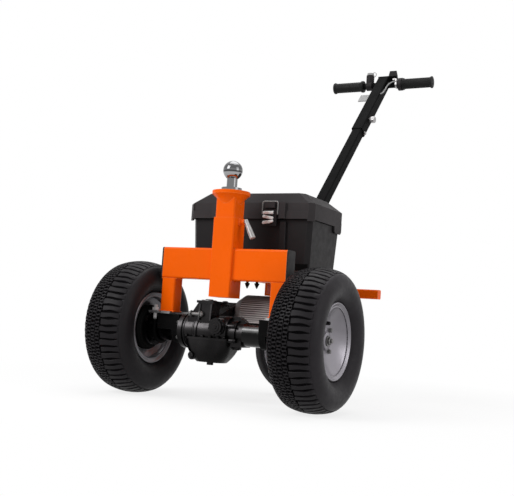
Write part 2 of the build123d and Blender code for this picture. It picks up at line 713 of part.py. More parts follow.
def box_lid():
    # A hipped lid: its skirt has ribs, raised strips and corner posts in front, ears behind.
    h, y0, y1, c, w = lid_half, lid_y0, lid_y1, LID_CORNER, LID_WALL
    ix, iy = LID_ROOF_IN_X, LID_ROOF_IN_Y

    def solid(a, drop):
        skirt = extrude(cut_rect(-h + a, h - a, y0 + a, y1 - a, c, lid_low), LID_SKIRT_H - drop)
        roof = loft([cut_rect(-h + a, h - a, y0 + a, y1 - a, c, lid_eave - drop),
                     cut_rect(-h + a + ix, h - a - ix, y0 + a + iy, y1 - a - iy, c,
                              lid_eave + LID_ROOF_H - drop)])
        return skirt + roof

    lid = solid(0, 0) - solid(w, w)
    rib_x0 = BOX_RIB_X - BOX_RIB_W / 2
    rib_x1 = BOX_RIB_X + BOX_RIB_W / 2
    extras = block(rib_x0, rib_x1, y0 - BOX_RIB_T, y0, lid_low, lid_eave)
    hook_y = y0 - LATCH_OFF - LATCH_T - HOOK_OUT
    extras += block(LATCH_X - HOOK_HALF, LATCH_X + HOOK_HALF, hook_y, y0, lid_eave - HOOK_H, lid_eave)
    extras += block(rib_x1, h - c, y0 - LID_STRIP_T, y0, lid_low, lid_low + LID_STRIP_H)
    t = LID_POST_T
    corner = Polygon((h - c, y0 + w), (h - c, y0 - t), (h - c + t / 2, y0 - t),
                     (h + t, y0 + c - t / 2), (h + t, y0 + c), (h - w, y0 + c), align=None)
    post = extrude(Pos(0, 0, lid_low - LID_POST_HANG) * corner,
                   LID_SKIRT_H + LID_POST_HANG - LID_POST_DOWN)
    a0 = hinge_y - EAR_FRONT
    a1 = hinge_y + EAR_BACK
    low = hinge_z - EAR_DROP
    ear = prism_yz([(a0, lid_low + c), (a0, low + EAR_CUT), (a0 + EAR_CUT, low),
                    (a1 - EAR_CUT, low), (a1, low + EAR_CUT), (a1, lid_low + c)], h - w, h)
    ear -= rod_x(h - w, h, hinge_y, hinge_z, HINGE_PIN_R + RUN_FIT)
    side = extras + post + ear
    return lid + side + mirror(side, Plane.YZ)


def latch():
    # A ribbed lever plate hung below the lid's front edge, on a block that stands off the lid.
    x0 = LATCH_X - LATCH_W / 2
    x1 = LATCH_X + LATCH_W / 2
    back = lid_y0 - LATCH_OFF
    front = back - LATCH_T
    top = lid_low + LATCH_RISE
    plate = block(x0, x1, front, back, top - LATCH_H, top)
    for i in range(1, LATCH_RIBS + 1):
        z = top - i * LATCH_RIB_STEP - LATCH_RIB_T
        plate += block(x0 + LATCH_MARGIN, x1 - LATCH_MARGIN, front - LATCH_RIB_T, front, z,
                       z + LATCH_RIB)
    return plate + block(LATCH_X - LATCH_W / 4, LATCH_X + LATCH_W / 4, back, lid_y0, lid_low, top)


def bail():
    # The wire from the lever's sides over the hook under the lid's eave.
    z0 = lid_low + LATCH_RISE - BAIL_LAP
    z1 = lid_eave + BAIL_R
    y = lid_y0 - LATCH_OFF - LATCH_T / 2
    half = LATCH_W / 2 + BAIL_R
    path = FilletPolyline((LATCH_X - half, y, z0), (LATCH_X - half, y, z1),
                          (LATCH_X + half, y, z1), (LATCH_X + half, y, z0), radius=BAIL_BEND)
    return sweep(Plane(path @ 0, z_dir=path % 0) * Circle(BAIL_R), path=path)


def caster_plate():
    # The swivel's plate, hung under the rails by a cheek on each side.
    half = RAIL_X + BRACKET_T / 2
    y0 = king_y - TOP_PLATE_HALF_Y
    y1 = king_y + TOP_PLATE_HALF_Y
    plate = block(-half, half, y0, y1, plate_low, plate_top)
    cheek = block(half - BRACKET_T, half, y0, y1, plate_low, rail_low)
    plate += cheek + mirror(cheek, Plane.YZ)
    return plate - rod_z(0, king_y, plate_low, plate_top, KING_R + RUN_FIT)


def caster_fork():
    # A bent fork: a crown under the swivel race and two cheeks down to the wheel's bolt.
    crown_half = fork_x + FORK_T
    y0 = -RACE_R
    y1 = y0 + CROWN_W
    crown = block(-crown_half, crown_half, y0, y1, crown_low, crown_top)
    race_top = plate_low - RACE_GAP
    crown += rod_z(0, 0, crown_top, race_top, RACE_R)
    crown += rod_z(0, 0, race_top, plate_top, KING_R)
    pts = [(y0, crown_low), (y1, crown_low), (CASTER_TRAIL + FORK_END_R, CASTER_R),
           (CASTER_TRAIL - FORK_END_R, CASTER_R)]
    cheek = prism_yz(pts, fork_x, crown_half)
    cheek += rod_x(fork_x, crown_half, CASTER_TRAIL, CASTER_R, FORK_END_R)
    cheek -= rod_x(fork_x, crown_half, CASTER_TRAIL, CASTER_R, CASTER_BOLT_R)
    return CASTER * (crown + cheek + mirror(cheek, Plane.YZ))


def caster_bolt():
    half = fork_x + FORK_T
    end = half + CASTER_BOLT_OUT
    bolt = rod_x(-end, end, CASTER_TRAIL, CASTER_R, CASTER_BOLT_R)
    for x in (half, -half - CASTER_NUT_H):
        bolt += extrude(Plane((x, CASTER_TRAIL, CASTER_R), z_dir=(1, 0, 0))
                        * RegularPolygon(CASTER_NUT_R, 6), amount=CASTER_NUT_H)
    return CASTER * bolt


def caster_tyre():
    seat_r = CASTER_R - CASTER_TYRE_H
    seat = CASTER_W / 2 - CASTER_SEAT_IN
    bead_r = seat_r + CASTER_SEAT_IN / 2
    face = tyre_section(CASTER_W / 2, seat, bead_r, seat_r + CASTER_TYRE_H / 2,
                        CASTER_CROWN_HALF, CASTER_CROWN_RISE, CASTER_R, seat_r)
    return CASTER * Pos(0, CASTER_TRAIL, CASTER_R) * revolve(face, Axis.X)


def caster_rim():
    half = CASTER_W / 2 - CASTER_SEAT_IN
    hub_half = fork_x - CASTER_HUB_GAP
    bore = CASTER_BOLT_R + RUN_FIT
    seat = CASTER_R - CASTER_TYRE_H
    lip = seat - CASTER_LIP
    web = CASTER_WEB_T
    cone = lip - half + web
    hub_r = CASTER_HUB_R
    side = [(half, seat), (half, lip), (web, cone), (web, hub_r), (hub_half, hub_r - web),
            (hub_half, bore)]
    profile = side + [(-x, r) for x, r in reversed(side)]
    return CASTER * turned_x(profile, CASTER_TRAIL, CASTER_R)


def socket():
    # The short sleeve that holds the tiller's foot, between two cheeks on the tail plate.
    return TILLER * tube("z", (0, 0, SOCKET_FROM), SOCKET_TO - SOCKET_FROM, SLEEVE_W, SLEEVE_W,
                         (SLEEVE_W - STEM_W) / 2)


def socket_cheek():
    def at(s, across):
        return foot_y + s * ca + across * sa, foot_z + s * sa - across * ca

    low = at(SOCKET_FROM, -sleeve_half)
    top = SOCKET_TO - CHEEK_SHORT
    pts = [(low[0], foot_z), (rear_bar_front, foot_z), (rear_bar_front, foot_z + CHEEK_TOE),
           at(top, sleeve_half), at(top, -sleeve_half), low]
    return prism_yz(pts, sleeve_half, sleeve_half + CHEEK_T)


def stem():
    return TILLER * tube("z", (0, 0, STEM_FROM), stem_top - STEM_FROM, STEM_W, STEM_W, STEM_WALL)


def sleeve():
    # The sliding head tube, closed by an end plate that reaches out under the switch.
    wall = (SLEEVE_W - sleeve_bore) / 2
    plate_z = sleeve_top - END_PLATE_T
    piece = tube("z", (0, 0, sleeve_low), plate_z - sleeve_low, SLEEVE_W, SLEEVE_W, wall)
    piece += block(-sleeve_half, sleeve_half + END_PLATE_OUT, -sleeve_half, sleeve_half, plate_z,
                   sleeve_top)
    piece -= rod_x(-SLEEVE_W, SLEEVE_W, 0, BAR_REACH, HANDLE_R)
    return TILLER * (piece - rod_x(0, SLEEVE_W, 0, knob_z, KNOB_NECK_R))


def handle_core():
    return rod_x(-handle_half, handle_half, 0, BAR_REACH, HANDLE_R)


def grip(x0, x1, collars):
    # A rubber grip on the bar; each collar is a raised ring that starts at a place along X.
    piece = rod_x(x0, x1, 0, BAR_REACH, GRIP_R)
    for x in collars:
        piece += rod_x(x, x + GRIP_END_L, 0, BAR_REACH, GRIP_END_R)
    return TILLER * (piece - handle_core())


def throttle():
    return TILLER * (rod_x(throttle_x0, throttle_x1, 0, BAR_REACH, THROTTLE_R) - handle_core())


def key_switch():
    x0 = key_x - KEY_CLAMP_L / 2
    clamp = TILLER * rod_x(x0, x0 + KEY_CLAMP_L, 0, BAR_REACH, KEY_CLAMP_R)
    barrel = Pos((TILLER * Pos(key_x, 0, BAR_REACH)).position) * rod_z(0, 0, 0, KEY_H, KEY_R)
    return clamp + barrel - TILLER * handle_core()


def key_top():
    up = (TILLER * Pos(key_x, 0, BAR_REACH)).position
    return Pos(up) * rod_z(0, 0, KEY_H, KEY_H + KEY_TOP_H, KEY_TOP_R)


def switch_pad():
    x = sleeve_half + END_PLATE_OUT - PAD_W / 2
    low = Pos(x, 0, sleeve_top) * Rectangle(PAD_W, PAD_D)
    top = Pos(x, -PAD_LEAN, sleeve_top + PAD_H) * Rectangle(PAD_W - 2 * PAD_TAPER, PAD_D - 2 * PAD_TAPER)
    return TILLER * loft([low, top])


def lock_knob():
    neck_end = sleeve_half + KNOB_NECK_L
    knob = rod_x(sleeve_half - KNOB_SINK, neck_end, 0, knob_z, KNOB_NECK_R)
    return TILLER * (knob + rod_x(neck_end, neck_end + KNOB_L, 0, knob_z, KNOB_R))


def tag_plate():
    z1 = BAR_REACH - TAG_DOWN
    return TILLER * block(-sleeve_half - TAG_W, -sleeve_half, TAG_BELOW, TAG_BELOW + TAG_T,
                          z1 - TAG_L, z1)


def cable():
    # From the throttle's inner end, round and down beside the sleeve, then into its side.
    x = sleeve_half + CABLE_OFF
    z1 = BAR_REACH - CABLE_DOWN
    path = FilletPolyline((throttle_x0, CABLE_Y, BAR_REACH), (x, CABLE_Y, BAR_REACH),
                          (x, CABLE_Y, z1), (sleeve_half, CABLE_Y, z1), radius=CABLE_BEND)
    return TILLER * sweep(Plane(path @ 0, z_dir=path % 0) * Circle(CABLE_R), path=path)


beam_cap = plug("x", (BEAM_HALF, BEAM_Y, beam_z), BEAM_D, BEAM_H, TUBE_WALL)
nodes = {
    "cross_beam": mirrored(beam_half()),
    "tube_end_caps": mirrored(beam_cap),
    "frame_legs": mirrored(leg()),
    "axle_saddles": mirrored(saddle()),
    "axle_straps": mirrored(strap()),
    "u_bolts": mirrored(u_bolt()),
    "mast_tube": [mast_tube()],
    "mast_clamp": [mast_clamp()],
    "mast_post": [mast_post()],
    "hitch_ball": [hitch_ball()],
    "diff_case": [diff_case()],
    "gear_case": [gear_case()],
    "axle_tube_left": [axle_tube(-1, tube_left)],
    "axle_tube_right": [axle_tube(1, tube_right)],
    "drive_motor": [motor()],
    "motor_end_bell": [motor_bell()],
    "chassis_rails": mirrored(rail()),
    "rear_bar": rear_bar(),
    "box_tray": [tray()],
    "tail_plate": [block(-RAIL_X - BAR / 2, RAIL_X + BAR / 2, tail_y0, rear_bar_front, rail_top,
                         tail_top)],
    "box_body": [box_body()],
    "battery_block": [battery()],
    "box_lid": [box_lid()],
    "latch_levers": mirrored(latch()),
    "latch_bails": mirrored(bail()),
    "caster_plate": [caster_plate()],
    "caster_fork": [caster_fork()],
    "caster_bolt": [caster_bolt()],
    "caster_tyre": [caster_tyre()],
    "caster_rim": [caster_rim()],
    "tiller_socket": [socket()],
    "socket_cheeks": mirrored(socket_cheek()),
    "tiller_stem": [stem()],
    "tiller_sleeve": [sleeve()],
    "handlebar": [TILLER * handle_core()],
    "grip_left": [grip(-handle_half, GRIP_L - handle_half, [-handle_half])],
    "grip_throttle": [grip(throttle_x1, handle_half, [throttle_x1, handle_half - GRIP_END_L])],
    "throttle_housing": [throttle()],
    "key_switch": [key_switch()],
    "key_top": [key_top()],
    "switch_pad": [switch_pad()],
    "lock_knob": [lock_knob()],
    "tag_plate": [tag_plate()],
    "control_cable": [cable()],
}
for kind, piece in (("tyre", tyre()), ("rim", rim()), ("hub", hub())):
    nodes[kind + "_right"] = [piece]
    nodes[kind + "_left"] = [mirror(piece, Plane.YZ)]

boxes = [p.bounding_box() for pieces in nodes.values() for p in pieces]
middle_y = (min(b.min.Y for b in boxes) + max(b.max.Y for b in boxes)) / 2
SHIFT = Pos(0, -middle_y, 0)
os.makedirs("parts", exist_ok=True)
for name, pieces in nodes.items():
    solids = [s for p in pieces for s in (SHIFT * p).solids()]
    shape = solids[0] if len(solids) == 1 else Compound(children=solids)
    shape.label = name
    export_step(shape, "parts/" + name + ".step")
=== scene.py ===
import bpy
import bmesh
import json
import math
from mathutils import Matrix, Vector


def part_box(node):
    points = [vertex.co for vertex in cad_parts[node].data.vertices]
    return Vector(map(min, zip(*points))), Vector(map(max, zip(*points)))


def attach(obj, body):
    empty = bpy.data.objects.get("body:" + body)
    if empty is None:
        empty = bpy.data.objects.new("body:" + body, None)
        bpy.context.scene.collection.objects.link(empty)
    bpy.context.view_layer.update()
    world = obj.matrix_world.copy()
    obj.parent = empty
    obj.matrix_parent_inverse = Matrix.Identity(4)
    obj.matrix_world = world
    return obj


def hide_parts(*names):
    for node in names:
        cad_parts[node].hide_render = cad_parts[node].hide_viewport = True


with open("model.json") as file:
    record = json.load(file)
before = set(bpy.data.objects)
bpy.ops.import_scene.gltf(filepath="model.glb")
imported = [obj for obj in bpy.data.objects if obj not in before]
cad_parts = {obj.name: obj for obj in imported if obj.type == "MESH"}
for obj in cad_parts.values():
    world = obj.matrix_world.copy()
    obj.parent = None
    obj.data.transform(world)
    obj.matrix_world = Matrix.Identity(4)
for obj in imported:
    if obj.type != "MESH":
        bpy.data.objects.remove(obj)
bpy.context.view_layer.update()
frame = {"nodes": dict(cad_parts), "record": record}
nodes = frame["nodes"]
bpy.context.scene.view_settings.view_transform = "Standard"

# The axle's place along Y in the frame, in metres
tyre_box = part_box("tyre_left")
AXLE_Y = (tyre_box[0].y + tyre_box[1].y) / 2


# Small helpers for shader nodes and objects
def node(tree, kind, **sockets):
    made = tree.nodes.new(kind)
    for key, value in sockets.items():
        made.inputs[key].default_value = value
    return made


def span(tree, value, low, high, first, last):
    """Maps a value that runs from low to high onto first to last."""
    made = tree.nodes.new("ShaderNodeMapRange")
    for i, limit in enumerate((low, high, first, last)):
        made.inputs[i + 1].default_value = limit
    tree.links.new(value, made.inputs[0])
    return made.outputs[0]


def maths(tree, kind, operation, *values):
    made = tree.nodes.new(kind)
    made.operation = operation
    for value, socket in zip(values, made.inputs):
        tree.links.new(value, socket)
    return made.outputs["Value"]


def blend(tree, share, first, second, output):
    """Mixes two shaders into an output node, where a share of 1 is the second."""
    both = tree.nodes.new("ShaderNodeMixShader")
    for value, socket in zip((share, first.outputs[0], second.outputs[0]), both.inputs):
        tree.links.new(value, socket)
    tree.links.new(both.outputs[0], tree.nodes[output].inputs["Surface"])


def placed(name, data):
    thing = bpy.data.objects.new(name, data)
    bpy.context.scene.collection.objects.link(thing)
    return thing


# Materials
# Detail of the noise behind colour, dust and bumps, and the noise's own roughness
COLOUR_DETAIL, DUST_DETAIL, BUMP_DETAIL = 4.0, 6.0, 3.0
NOISE_ROUGH = 0.6
# The stretch of the noise that is used, and how much finer it is for roughness than for colour
NOISE_LOW, NOISE_HIGH = 0.3, 0.7
ROUGH_FINER = 6.0
# The noise at which dust starts and is full, and the rounded normal's agreement at no edge and a full one
DUST_LOW, DUST_HIGH = 0.45, 0.75
EDGE_NONE, EDGE_FULL = 1.0, 0.75
EDGE_SAMPLES = 4


def tinted(color, share):
    return tuple(min(1.0, c * share) for c in color) + (1.0,)


def material(name, color, tones, spread, rough, bumps, metallic=0.0, shine=0.5,
             edge=None, dust=None, zone=None, painted_light_by_facing=None):
    """Noise-driven colour, roughness and bump in object space.

    tones are the darkest and lightest share of the colour, spread is the noise's scale, and each bump is
    (scale, strength, distance). edge is (tone, radius, amount): a lighter tone on edges, partly wear and
    partly a painted highlight. dust is (tone, amount, scale).
    zone is (tone, axis, low, high), a second tone nearer to the middle than low on that axis.
    facing lists (place, level): painted light and shade, the colour's level from a face pointing down (0) to
    one pointing up (1).
    """
    made = bpy.data.materials.new(name)
    made.use_nodes = True
    tree = made.node_tree
    shader = tree.nodes["Principled BSDF"]
    shader.inputs["Metallic"].default_value = metallic
    shader.inputs["Specular IOR Level"].default_value = shine
    local = tree.nodes.new("ShaderNodeTexCoord").outputs["Object"]

    def noise(scale, detail=COLOUR_DETAIL):
        cloud = node(tree, "ShaderNodeTexNoise", Scale=scale, Detail=detail, Roughness=NOISE_ROUGH)
        tree.links.new(local, cloud.inputs["Vector"])
        return cloud.outputs["Fac"]

    def mix(share, first, second, kind="MIX"):
        blended = tree.nodes.new("ShaderNodeMix")
        blended.data_type, blended.blend_type = "RGBA", kind
        for value, socket in ((share, "Factor"), (first, 6), (second, 7)):
            if isinstance(value, (float, tuple)):
                blended.inputs[socket].default_value = value
            else:
                tree.links.new(value, blended.inputs[socket])
        return blended.outputs[2]

    def along(vector, axis):
        parts = tree.nodes.new("ShaderNodeSeparateXYZ")
        tree.links.new(vector, parts.inputs[0])
        return parts.outputs[axis]

    def face_normal():
        return tree.nodes.new("ShaderNodeNewGeometry").outputs["Normal"]

    share = span(tree, noise(spread), NOISE_LOW, NOISE_HIGH, 0.0, 1.0)
    shade = mix(share, tinted(color, tones[0]), tinted(color, tones[1]))
    if dust:
        tone, amount, scale = dust
        share = span(tree, noise(scale, DUST_DETAIL), DUST_LOW, DUST_HIGH, 0.0, amount)
        shade = mix(share, shade, tone + (1.0,))
    # Lighter edges: partly wear, partly a painted highlight
    if edge:
        tone, radius, amount = edge
        rounded = node(tree, "ShaderNodeBevel", Radius=radius)
        rounded.samples = EDGE_SAMPLES
        agreement = maths(tree, "ShaderNodeVectorMath", "DOT_PRODUCT", rounded.outputs[0], face_normal())
        shade = mix(span(tree, agreement, EDGE_NONE, EDGE_FULL, 0.0, amount), shade, tone + (1.0,))
    if zone:
        tone, axis, low, high = zone
        distance = maths(tree, "ShaderNodeMath", "ABSOLUTE", along(local, axis))
        shade = mix(span(tree, distance, low, high, 1.0, 0.0), shade, tone + (1.0,))
    # Painted light and shade: the colour is scaled by the way the face points
    if painted_light_by_facing:
        ramp = tree.nodes.new("ShaderNodeValToRGB")
        stops = ramp.color_ramp.elements
        for i, (place, level) in enumerate(painted_light_by_facing):
            stop = stops[i] if i < 2 else stops.new(place)
            stop.position, stop.color = place, (level, level, level, 1.0)
        tree.links.new(span(tree, along(face_normal(), "Z"), -1.0, 1.0, 0.0, 1.0), ramp.inputs["Fac"])
        shade = mix(1.0, shade, ramp.outputs["Color"], "MULTIPLY")
    tree.links.new(shade, shader.inputs["Base Color"])
    roughness = span(tree, noise(spread * ROUGH_FINER), NOISE_LOW, NOISE_HIGH, *rough)
    tree.links.new(roughness, shader.inputs["Roughness"])
    normal = None
    for scale, strength, distance in bumps:
        bump = node(tree, "ShaderNodeBump", Strength=strength, Distance=distance)
        tree.links.new(noise(scale, BUMP_DETAIL), bump.inputs["Height"])
        if normal is not None:
            tree.links.new(normal, bump.inputs["Normal"])
        normal = bump.outputs["Normal"]
    tree.links.new(normal, shader.inputs["Normal"])
    return made


# Colour levels by the way a face points, as painted light and shade: a painted reflection on chrome and the
# motor, painted shade on the castings' lower faces, painted light on the rims' upper faces and the lid's
# front, and a painted highlight along the axle tubes' upper sides. The two ends come first
# Chrome: a painted reflection, with a dark band just below the middle
CHROME_PAINTED_REFLECTION = ((0.0, 0.3), (1.0, 0.36), (0.2, 0.5), (0.36, 0.6), (0.4, 0.12), (0.45, 0.08), (0.49, 0.3),
                (0.6, 0.16), (0.75, 0.22), (0.86, 0.4))
# Castings: painted shade on faces that point down or sideways
CAST_PAINTED_SHADE = ((0.0, 0.18), (1.0, 1.0), (0.3, 0.2), (0.5, 0.45), (0.6, 1.0))
# Motor: a painted reflection, bright underneath and dark on top
MOTOR_PAINTED_REFLECTION = ((0.0, 2.6), (1.0, 0.12), (0.3, 2.4), (0.42, 1.5), (0.56, 0.6), (0.75, 0.15))
# Drive rims: painted light on faces that point up, painted shade on those that point down
RIM_PAINTED_LIGHT = ((0.0, 0.6), (1.0, 1.45), (0.4, 0.76), (0.5, 1.0), (0.6, 1.2))
# Lid: a painted sheen on its upright front
LID_PAINTED_SHEEN = ((0.0, 1.0), (1.0, 0.92), (0.5, 1.25), (0.64, 1.0))
# Axle tubes: a painted highlight along the upper side
TUBE_PAINTED_HIGHLIGHT = ((0.0, 0.3), (1.0, 0.4), (0.5, 0.14), (0.66, 0.2), (0.74, 1.0), (0.9, 1.1))

# Bumps that several finishes share
PLASTIC_GRAIN = ((900.0, 0.2, 0.0004), (60.0, 0.03, 0.002))
ZINC_GRAIN = ((700.0, 0.08, 0.0003),)
STEEL_GRAIN = ((700.0, 0.06, 0.0003),)
TYRE_GRAIN = ((800.0, 0.14, 0.0003),)
RIM_GRAIN = ((1200.0, 0.05, 0.0002),)

# Lighter edge tones here are partly wear and partly painted highlight
FINISHES = {
    "frame_orange": dict(
        color=(0.82, 0.108, 0.0015), tones=(0.95, 1.05), spread=5.0, rough=(0.24, 0.34), shine=0.06,
        bumps=((260.0, 0.05, 0.0006), (1400.0, 0.05, 0.0002)), edge=((0.95, 0.4, 0.13), 0.0017, 0.65)),
    "black_plastic": dict(
        color=(0.011, 0.0095, 0.0103), tones=(0.8, 1.3), spread=9.0, rough=(0.44, 0.58), shine=0.13,
        bumps=PLASTIC_GRAIN, edge=((0.04, 0.037, 0.04), 0.0018, 0.45)),
    "lid_plastic": dict(
        color=(0.031, 0.028, 0.029), tones=(0.85, 1.2), spread=9.0, rough=(0.46, 0.58), shine=0.05,
        bumps=PLASTIC_GRAIN, edge=((0.06, 0.056, 0.058), 0.0018, 0.45), painted_light_by_facing=LID_PAINTED_SHEEN),
    "zinc_steel": dict(
        color=(0.42, 0.41, 0.41), tones=(0.7, 1.15), spread=30.0, rough=(0.26, 0.45), metallic=1.0,
        bumps=ZINC_GRAIN),
    # Zinc that turns near black below 186 mm up, on the U-bolts' lower arcs
    "zinc_black_below": dict(
        color=(0.42, 0.41, 0.41), tones=(0.7, 1.15), spread=30.0, rough=(0.5, 0.6), shine=0.02,
        bumps=ZINC_GRAIN, zone=((0.002, 0.002, 0.002), "Z", 0.186, 0.192)),
    "bright_steel": dict(
        color=(0.68, 0.665, 0.655), tones=(0.85, 1.1), spread=40.0, rough=(0.3, 0.42), metallic=0.35,
        shine=0.4, bumps=STEEL_GRAIN),
    "handle_steel": dict(
        color=(0.4, 0.39, 0.385), tones=(0.8, 1.15), spread=40.0, rough=(0.26, 0.36), metallic=0.5,
        shine=0.4, bumps=STEEL_GRAIN),
    "dull_steel": dict(
        color=(0.15, 0.147, 0.145), tones=(0.8, 1.2), spread=40.0, rough=(0.3, 0.42), metallic=0.6,
        shine=0.3, bumps=STEEL_GRAIN),
    "chrome": dict(
        color=(0.62, 0.62, 0.63), tones=(0.93, 1.06), spread=20.0, rough=(0.06, 0.14), metallic=1.0,
        bumps=((90.0, 0.01, 0.0004),), painted_light_by_facing=CHROME_PAINTED_REFLECTION),
    "black_cast": dict(
        color=(0.038, 0.036, 0.037), tones=(0.7, 1.4), spread=18.0, rough=(0.24, 0.36), metallic=0.9,
        shine=0.2, bumps=((420.0, 0.2, 0.0005), (90.0, 0.08, 0.001)),
        edge=((0.05, 0.05, 0.052), 0.0018, 0.4), painted_light_by_facing=CAST_PAINTED_SHADE),
    "black_steel": dict(
        color=(0.0055, 0.0055, 0.0056), tones=(0.85, 1.2), spread=8.0, rough=(0.4, 0.5), shine=0.01,
        bumps=((520.0, 0.05, 0.0003),), edge=((0.034, 0.034, 0.035), 0.0015, 0.8)),
    "gloss_black": dict(
        color=(0.085, 0.085, 0.085), tones=(0.8, 1.2), spread=14.0, rough=(0.16, 0.26), metallic=1.0,
        bumps=((300.0, 0.05, 0.0004),), painted_light_by_facing=TUBE_PAINTED_HIGHLIGHT),
    "motor_metal": dict(
        color=(0.36, 0.33, 0.325), tones=(0.9, 1.1), spread=16.0, rough=(0.4, 0.5), metallic=0.5,
        shine=0.2, bumps=((600.0, 0.08, 0.0003),), painted_light_by_facing=MOTOR_PAINTED_REFLECTION),
    "tyre_rubber": dict(
        color=(0.0145, 0.0126, 0.0148), tones=(0.75, 1.3), spread=14.0, rough=(0.42, 0.56), shine=0.12,
        bumps=TYRE_GRAIN, dust=((0.018, 0.0166, 0.0185), 0.25, 26.0),
        zone=((0.0088, 0.0077, 0.009), "X", 0.284, 0.294)),
    # Near-black rubber for the sheet in the tread's grooves: painted shade
    "groove_painted_shade": dict(
        color=(0.0046, 0.0042, 0.0048), tones=(0.8, 1.2), spread=14.0, rough=(0.6, 0.7), shine=0.02,
        bumps=TYRE_GRAIN),
    "rim_silver": dict(
        color=(0.42, 0.40, 0.435), tones=(0.92, 1.08), spread=12.0, rough=(0.26, 0.36), metallic=0.8,
        bumps=RIM_GRAIN),
    "rim_paint": dict(
        color=(0.235, 0.222, 0.245), tones=(0.92, 1.08), spread=12.0, rough=(0.28, 0.36), metallic=0.55,
        bumps=RIM_GRAIN, zone=((0.19, 0.186, 0.2), "X", 0.2445, 0.2465), painted_light_by_facing=RIM_PAINTED_LIGHT),
    "grip_rubber": dict(
        color=(0.0085, 0.0085, 0.0085), tones=(0.8, 1.3), spread=20.0, rough=(0.42, 0.56), shine=0.1,
        bumps=((1100.0, 0.16, 0.0003),)),
    "pale_plate": dict(
        color=(0.32, 0.32, 0.32), tones=(0.9, 1.06), spread=25.0, rough=(0.4, 0.5), shine=0.1,
        bumps=((900.0, 0.06, 0.0002),)),
    "cable_grey": dict(
        color=(0.20, 0.20, 0.20), tones=(0.85, 1.1), spread=40.0, rough=(0.4, 0.5), shine=0.3,
        bumps=((900.0, 0.1, 0.0002),)),
}
MATS = {name: material(name, **values) for name, values in FINISHES.items()}
# Nodes whose finish differs from the rest of their slot
OWN_FINISH = {"box_lid": "lid_plastic", "u_bolts": "zinc_black_below", "axle_tube_left": "gloss_black",
              "axle_tube_right": "gloss_black", "latch_levers": "black_plastic", "latch_bails": "dull_steel"}
for part in frame["record"]["subparts"]:
    shown = nodes[part["node"]]
    shown.data.materials.clear()
    shown.data.materials.append(MATS[OWN_FINISH.get(part["node"], part["material_slot"])])

# Camera at the photograph's low angle: turn, rise and roll, place from the axle in metres, and lens
AZIMUTH, ELEVATION, ROLL = math.radians(27.56), math.radians(-4.59), math.radians(3.86)
CAMERA_X, CAMERA_Y, CAMERA_Z = 1.0042, -1.7818, 0.2099
LENS_MM, SENSOR_MM = 59.42, 36.0


def photo_camera():
    data = bpy.data.cameras.new("camera")
    data.lens = LENS_MM
    data.sensor_width = SENSOR_MM
    camera = placed("camera", data)
    level = math.cos(ELEVATION)
    back = Vector((math.sin(AZIMUTH) * level, -math.cos(AZIMUTH) * level, math.sin(ELEVATION)))
    right = Vector((math.cos(AZIMUTH), math.sin(AZIMUTH), 0.0))
    up = right.cross(-back)
    across = math.cos(ROLL) * right + math.sin(ROLL) * up
    upright = -math.sin(ROLL) * right + math.cos(ROLL) * up
    turn = Matrix((across, upright, back)).transposed().to_4x4()
    camera.matrix_world = Matrix.Translation((CAMERA_X, AXLE_Y + CAMERA_Y, CAMERA_Z)) @ turn
    bpy.context.scene.camera = camera


photo_camera()

# Places shared by several pieces, in millimetres: X across, Y from the axle, Z from the floor
MM = 0.001
X_AXIS, Y_AXIS, Z_AXIS = Vector((1, 0, 0)), Vector((0, 1, 0)), Vector((0, 0, 1))
SIDES = {1: "right", -1: "left"}
WHEEL_X, AXLE_UP = 245.3, 165.0
BEAM_FRONT, BEAM_BACK, BEAM_LOW, BEAM_HIGH = -30.0, 8.0, 290.0, 366.0
MAST_HALF = 28.5
# The tiller's slope and foot, how far up it the bar and the sleeve's foot are, and the sleeve's half width
TILT = math.radians(45.9)
FOOT_Y, FOOT_Z = 318.0, 332.5
BAR_REACH, SLEEVE_LOW, SLEEVE_HALF = 1001.2, 700.2, 19.0


def at(x, y, z):
    return Vector((x * MM, AXLE_Y + y * MM, z * MM))


def head(x, y, z):
    """A place in the tiller's own frame: across, towards its underside, and along the stem."""
    return at(x, FOOT_Y + y * math.sin(TILT) + z * math.cos(TILT),
              FOOT_Z - y * math.cos(TILT) + z * math.sin(TILT))


def corners(first_a, last_a, first_b, last_b):
    return ((first_a, first_b), (last_a, first_b), (last_a, last_b), (first_a, last_b))


def turns(count, first):
    """Even angles round a circle, from a first one in degrees."""
    return [math.radians(360 / count * k + first) for k in range(count)]


def upright_circle(place, radius, angle):
    """A point on a circle about X."""
    return place + Vector((0, math.cos(angle), math.sin(angle))) * radius * MM


def arc(cx, cy, r, first, last, steps):
    angles = [math.radians(first + (last - first) * i / steps) for i in range(steps + 1)]
    return [(cx + r * math.cos(t), cy + r * math.sin(t)) for t in angles]


def ribs(first, last, depth):
    """A wave for Shape.turned: two facets in four sink by depth, from first to last along the axis."""
    return lambda along, facet: -depth if first <= along <= last and facet % 4 in (2, 3) else 0.0


# Bolt heads, as shares of the head's radius: the washer's (along, radius), the head's start and its top
WASHER = ((0, 1.3), (0.22, 1.3), (0.25, 1.2))
HEAD_FROM, HEAD_TOP = 0.2, 0.82
# The share of the head's height at which its chamfer starts
CHAMFER_FROM = 0.8
# The least radius of a turned point, and the slope above which a wire is upright
LEAST_R, STEEP = 0.02, 0.9


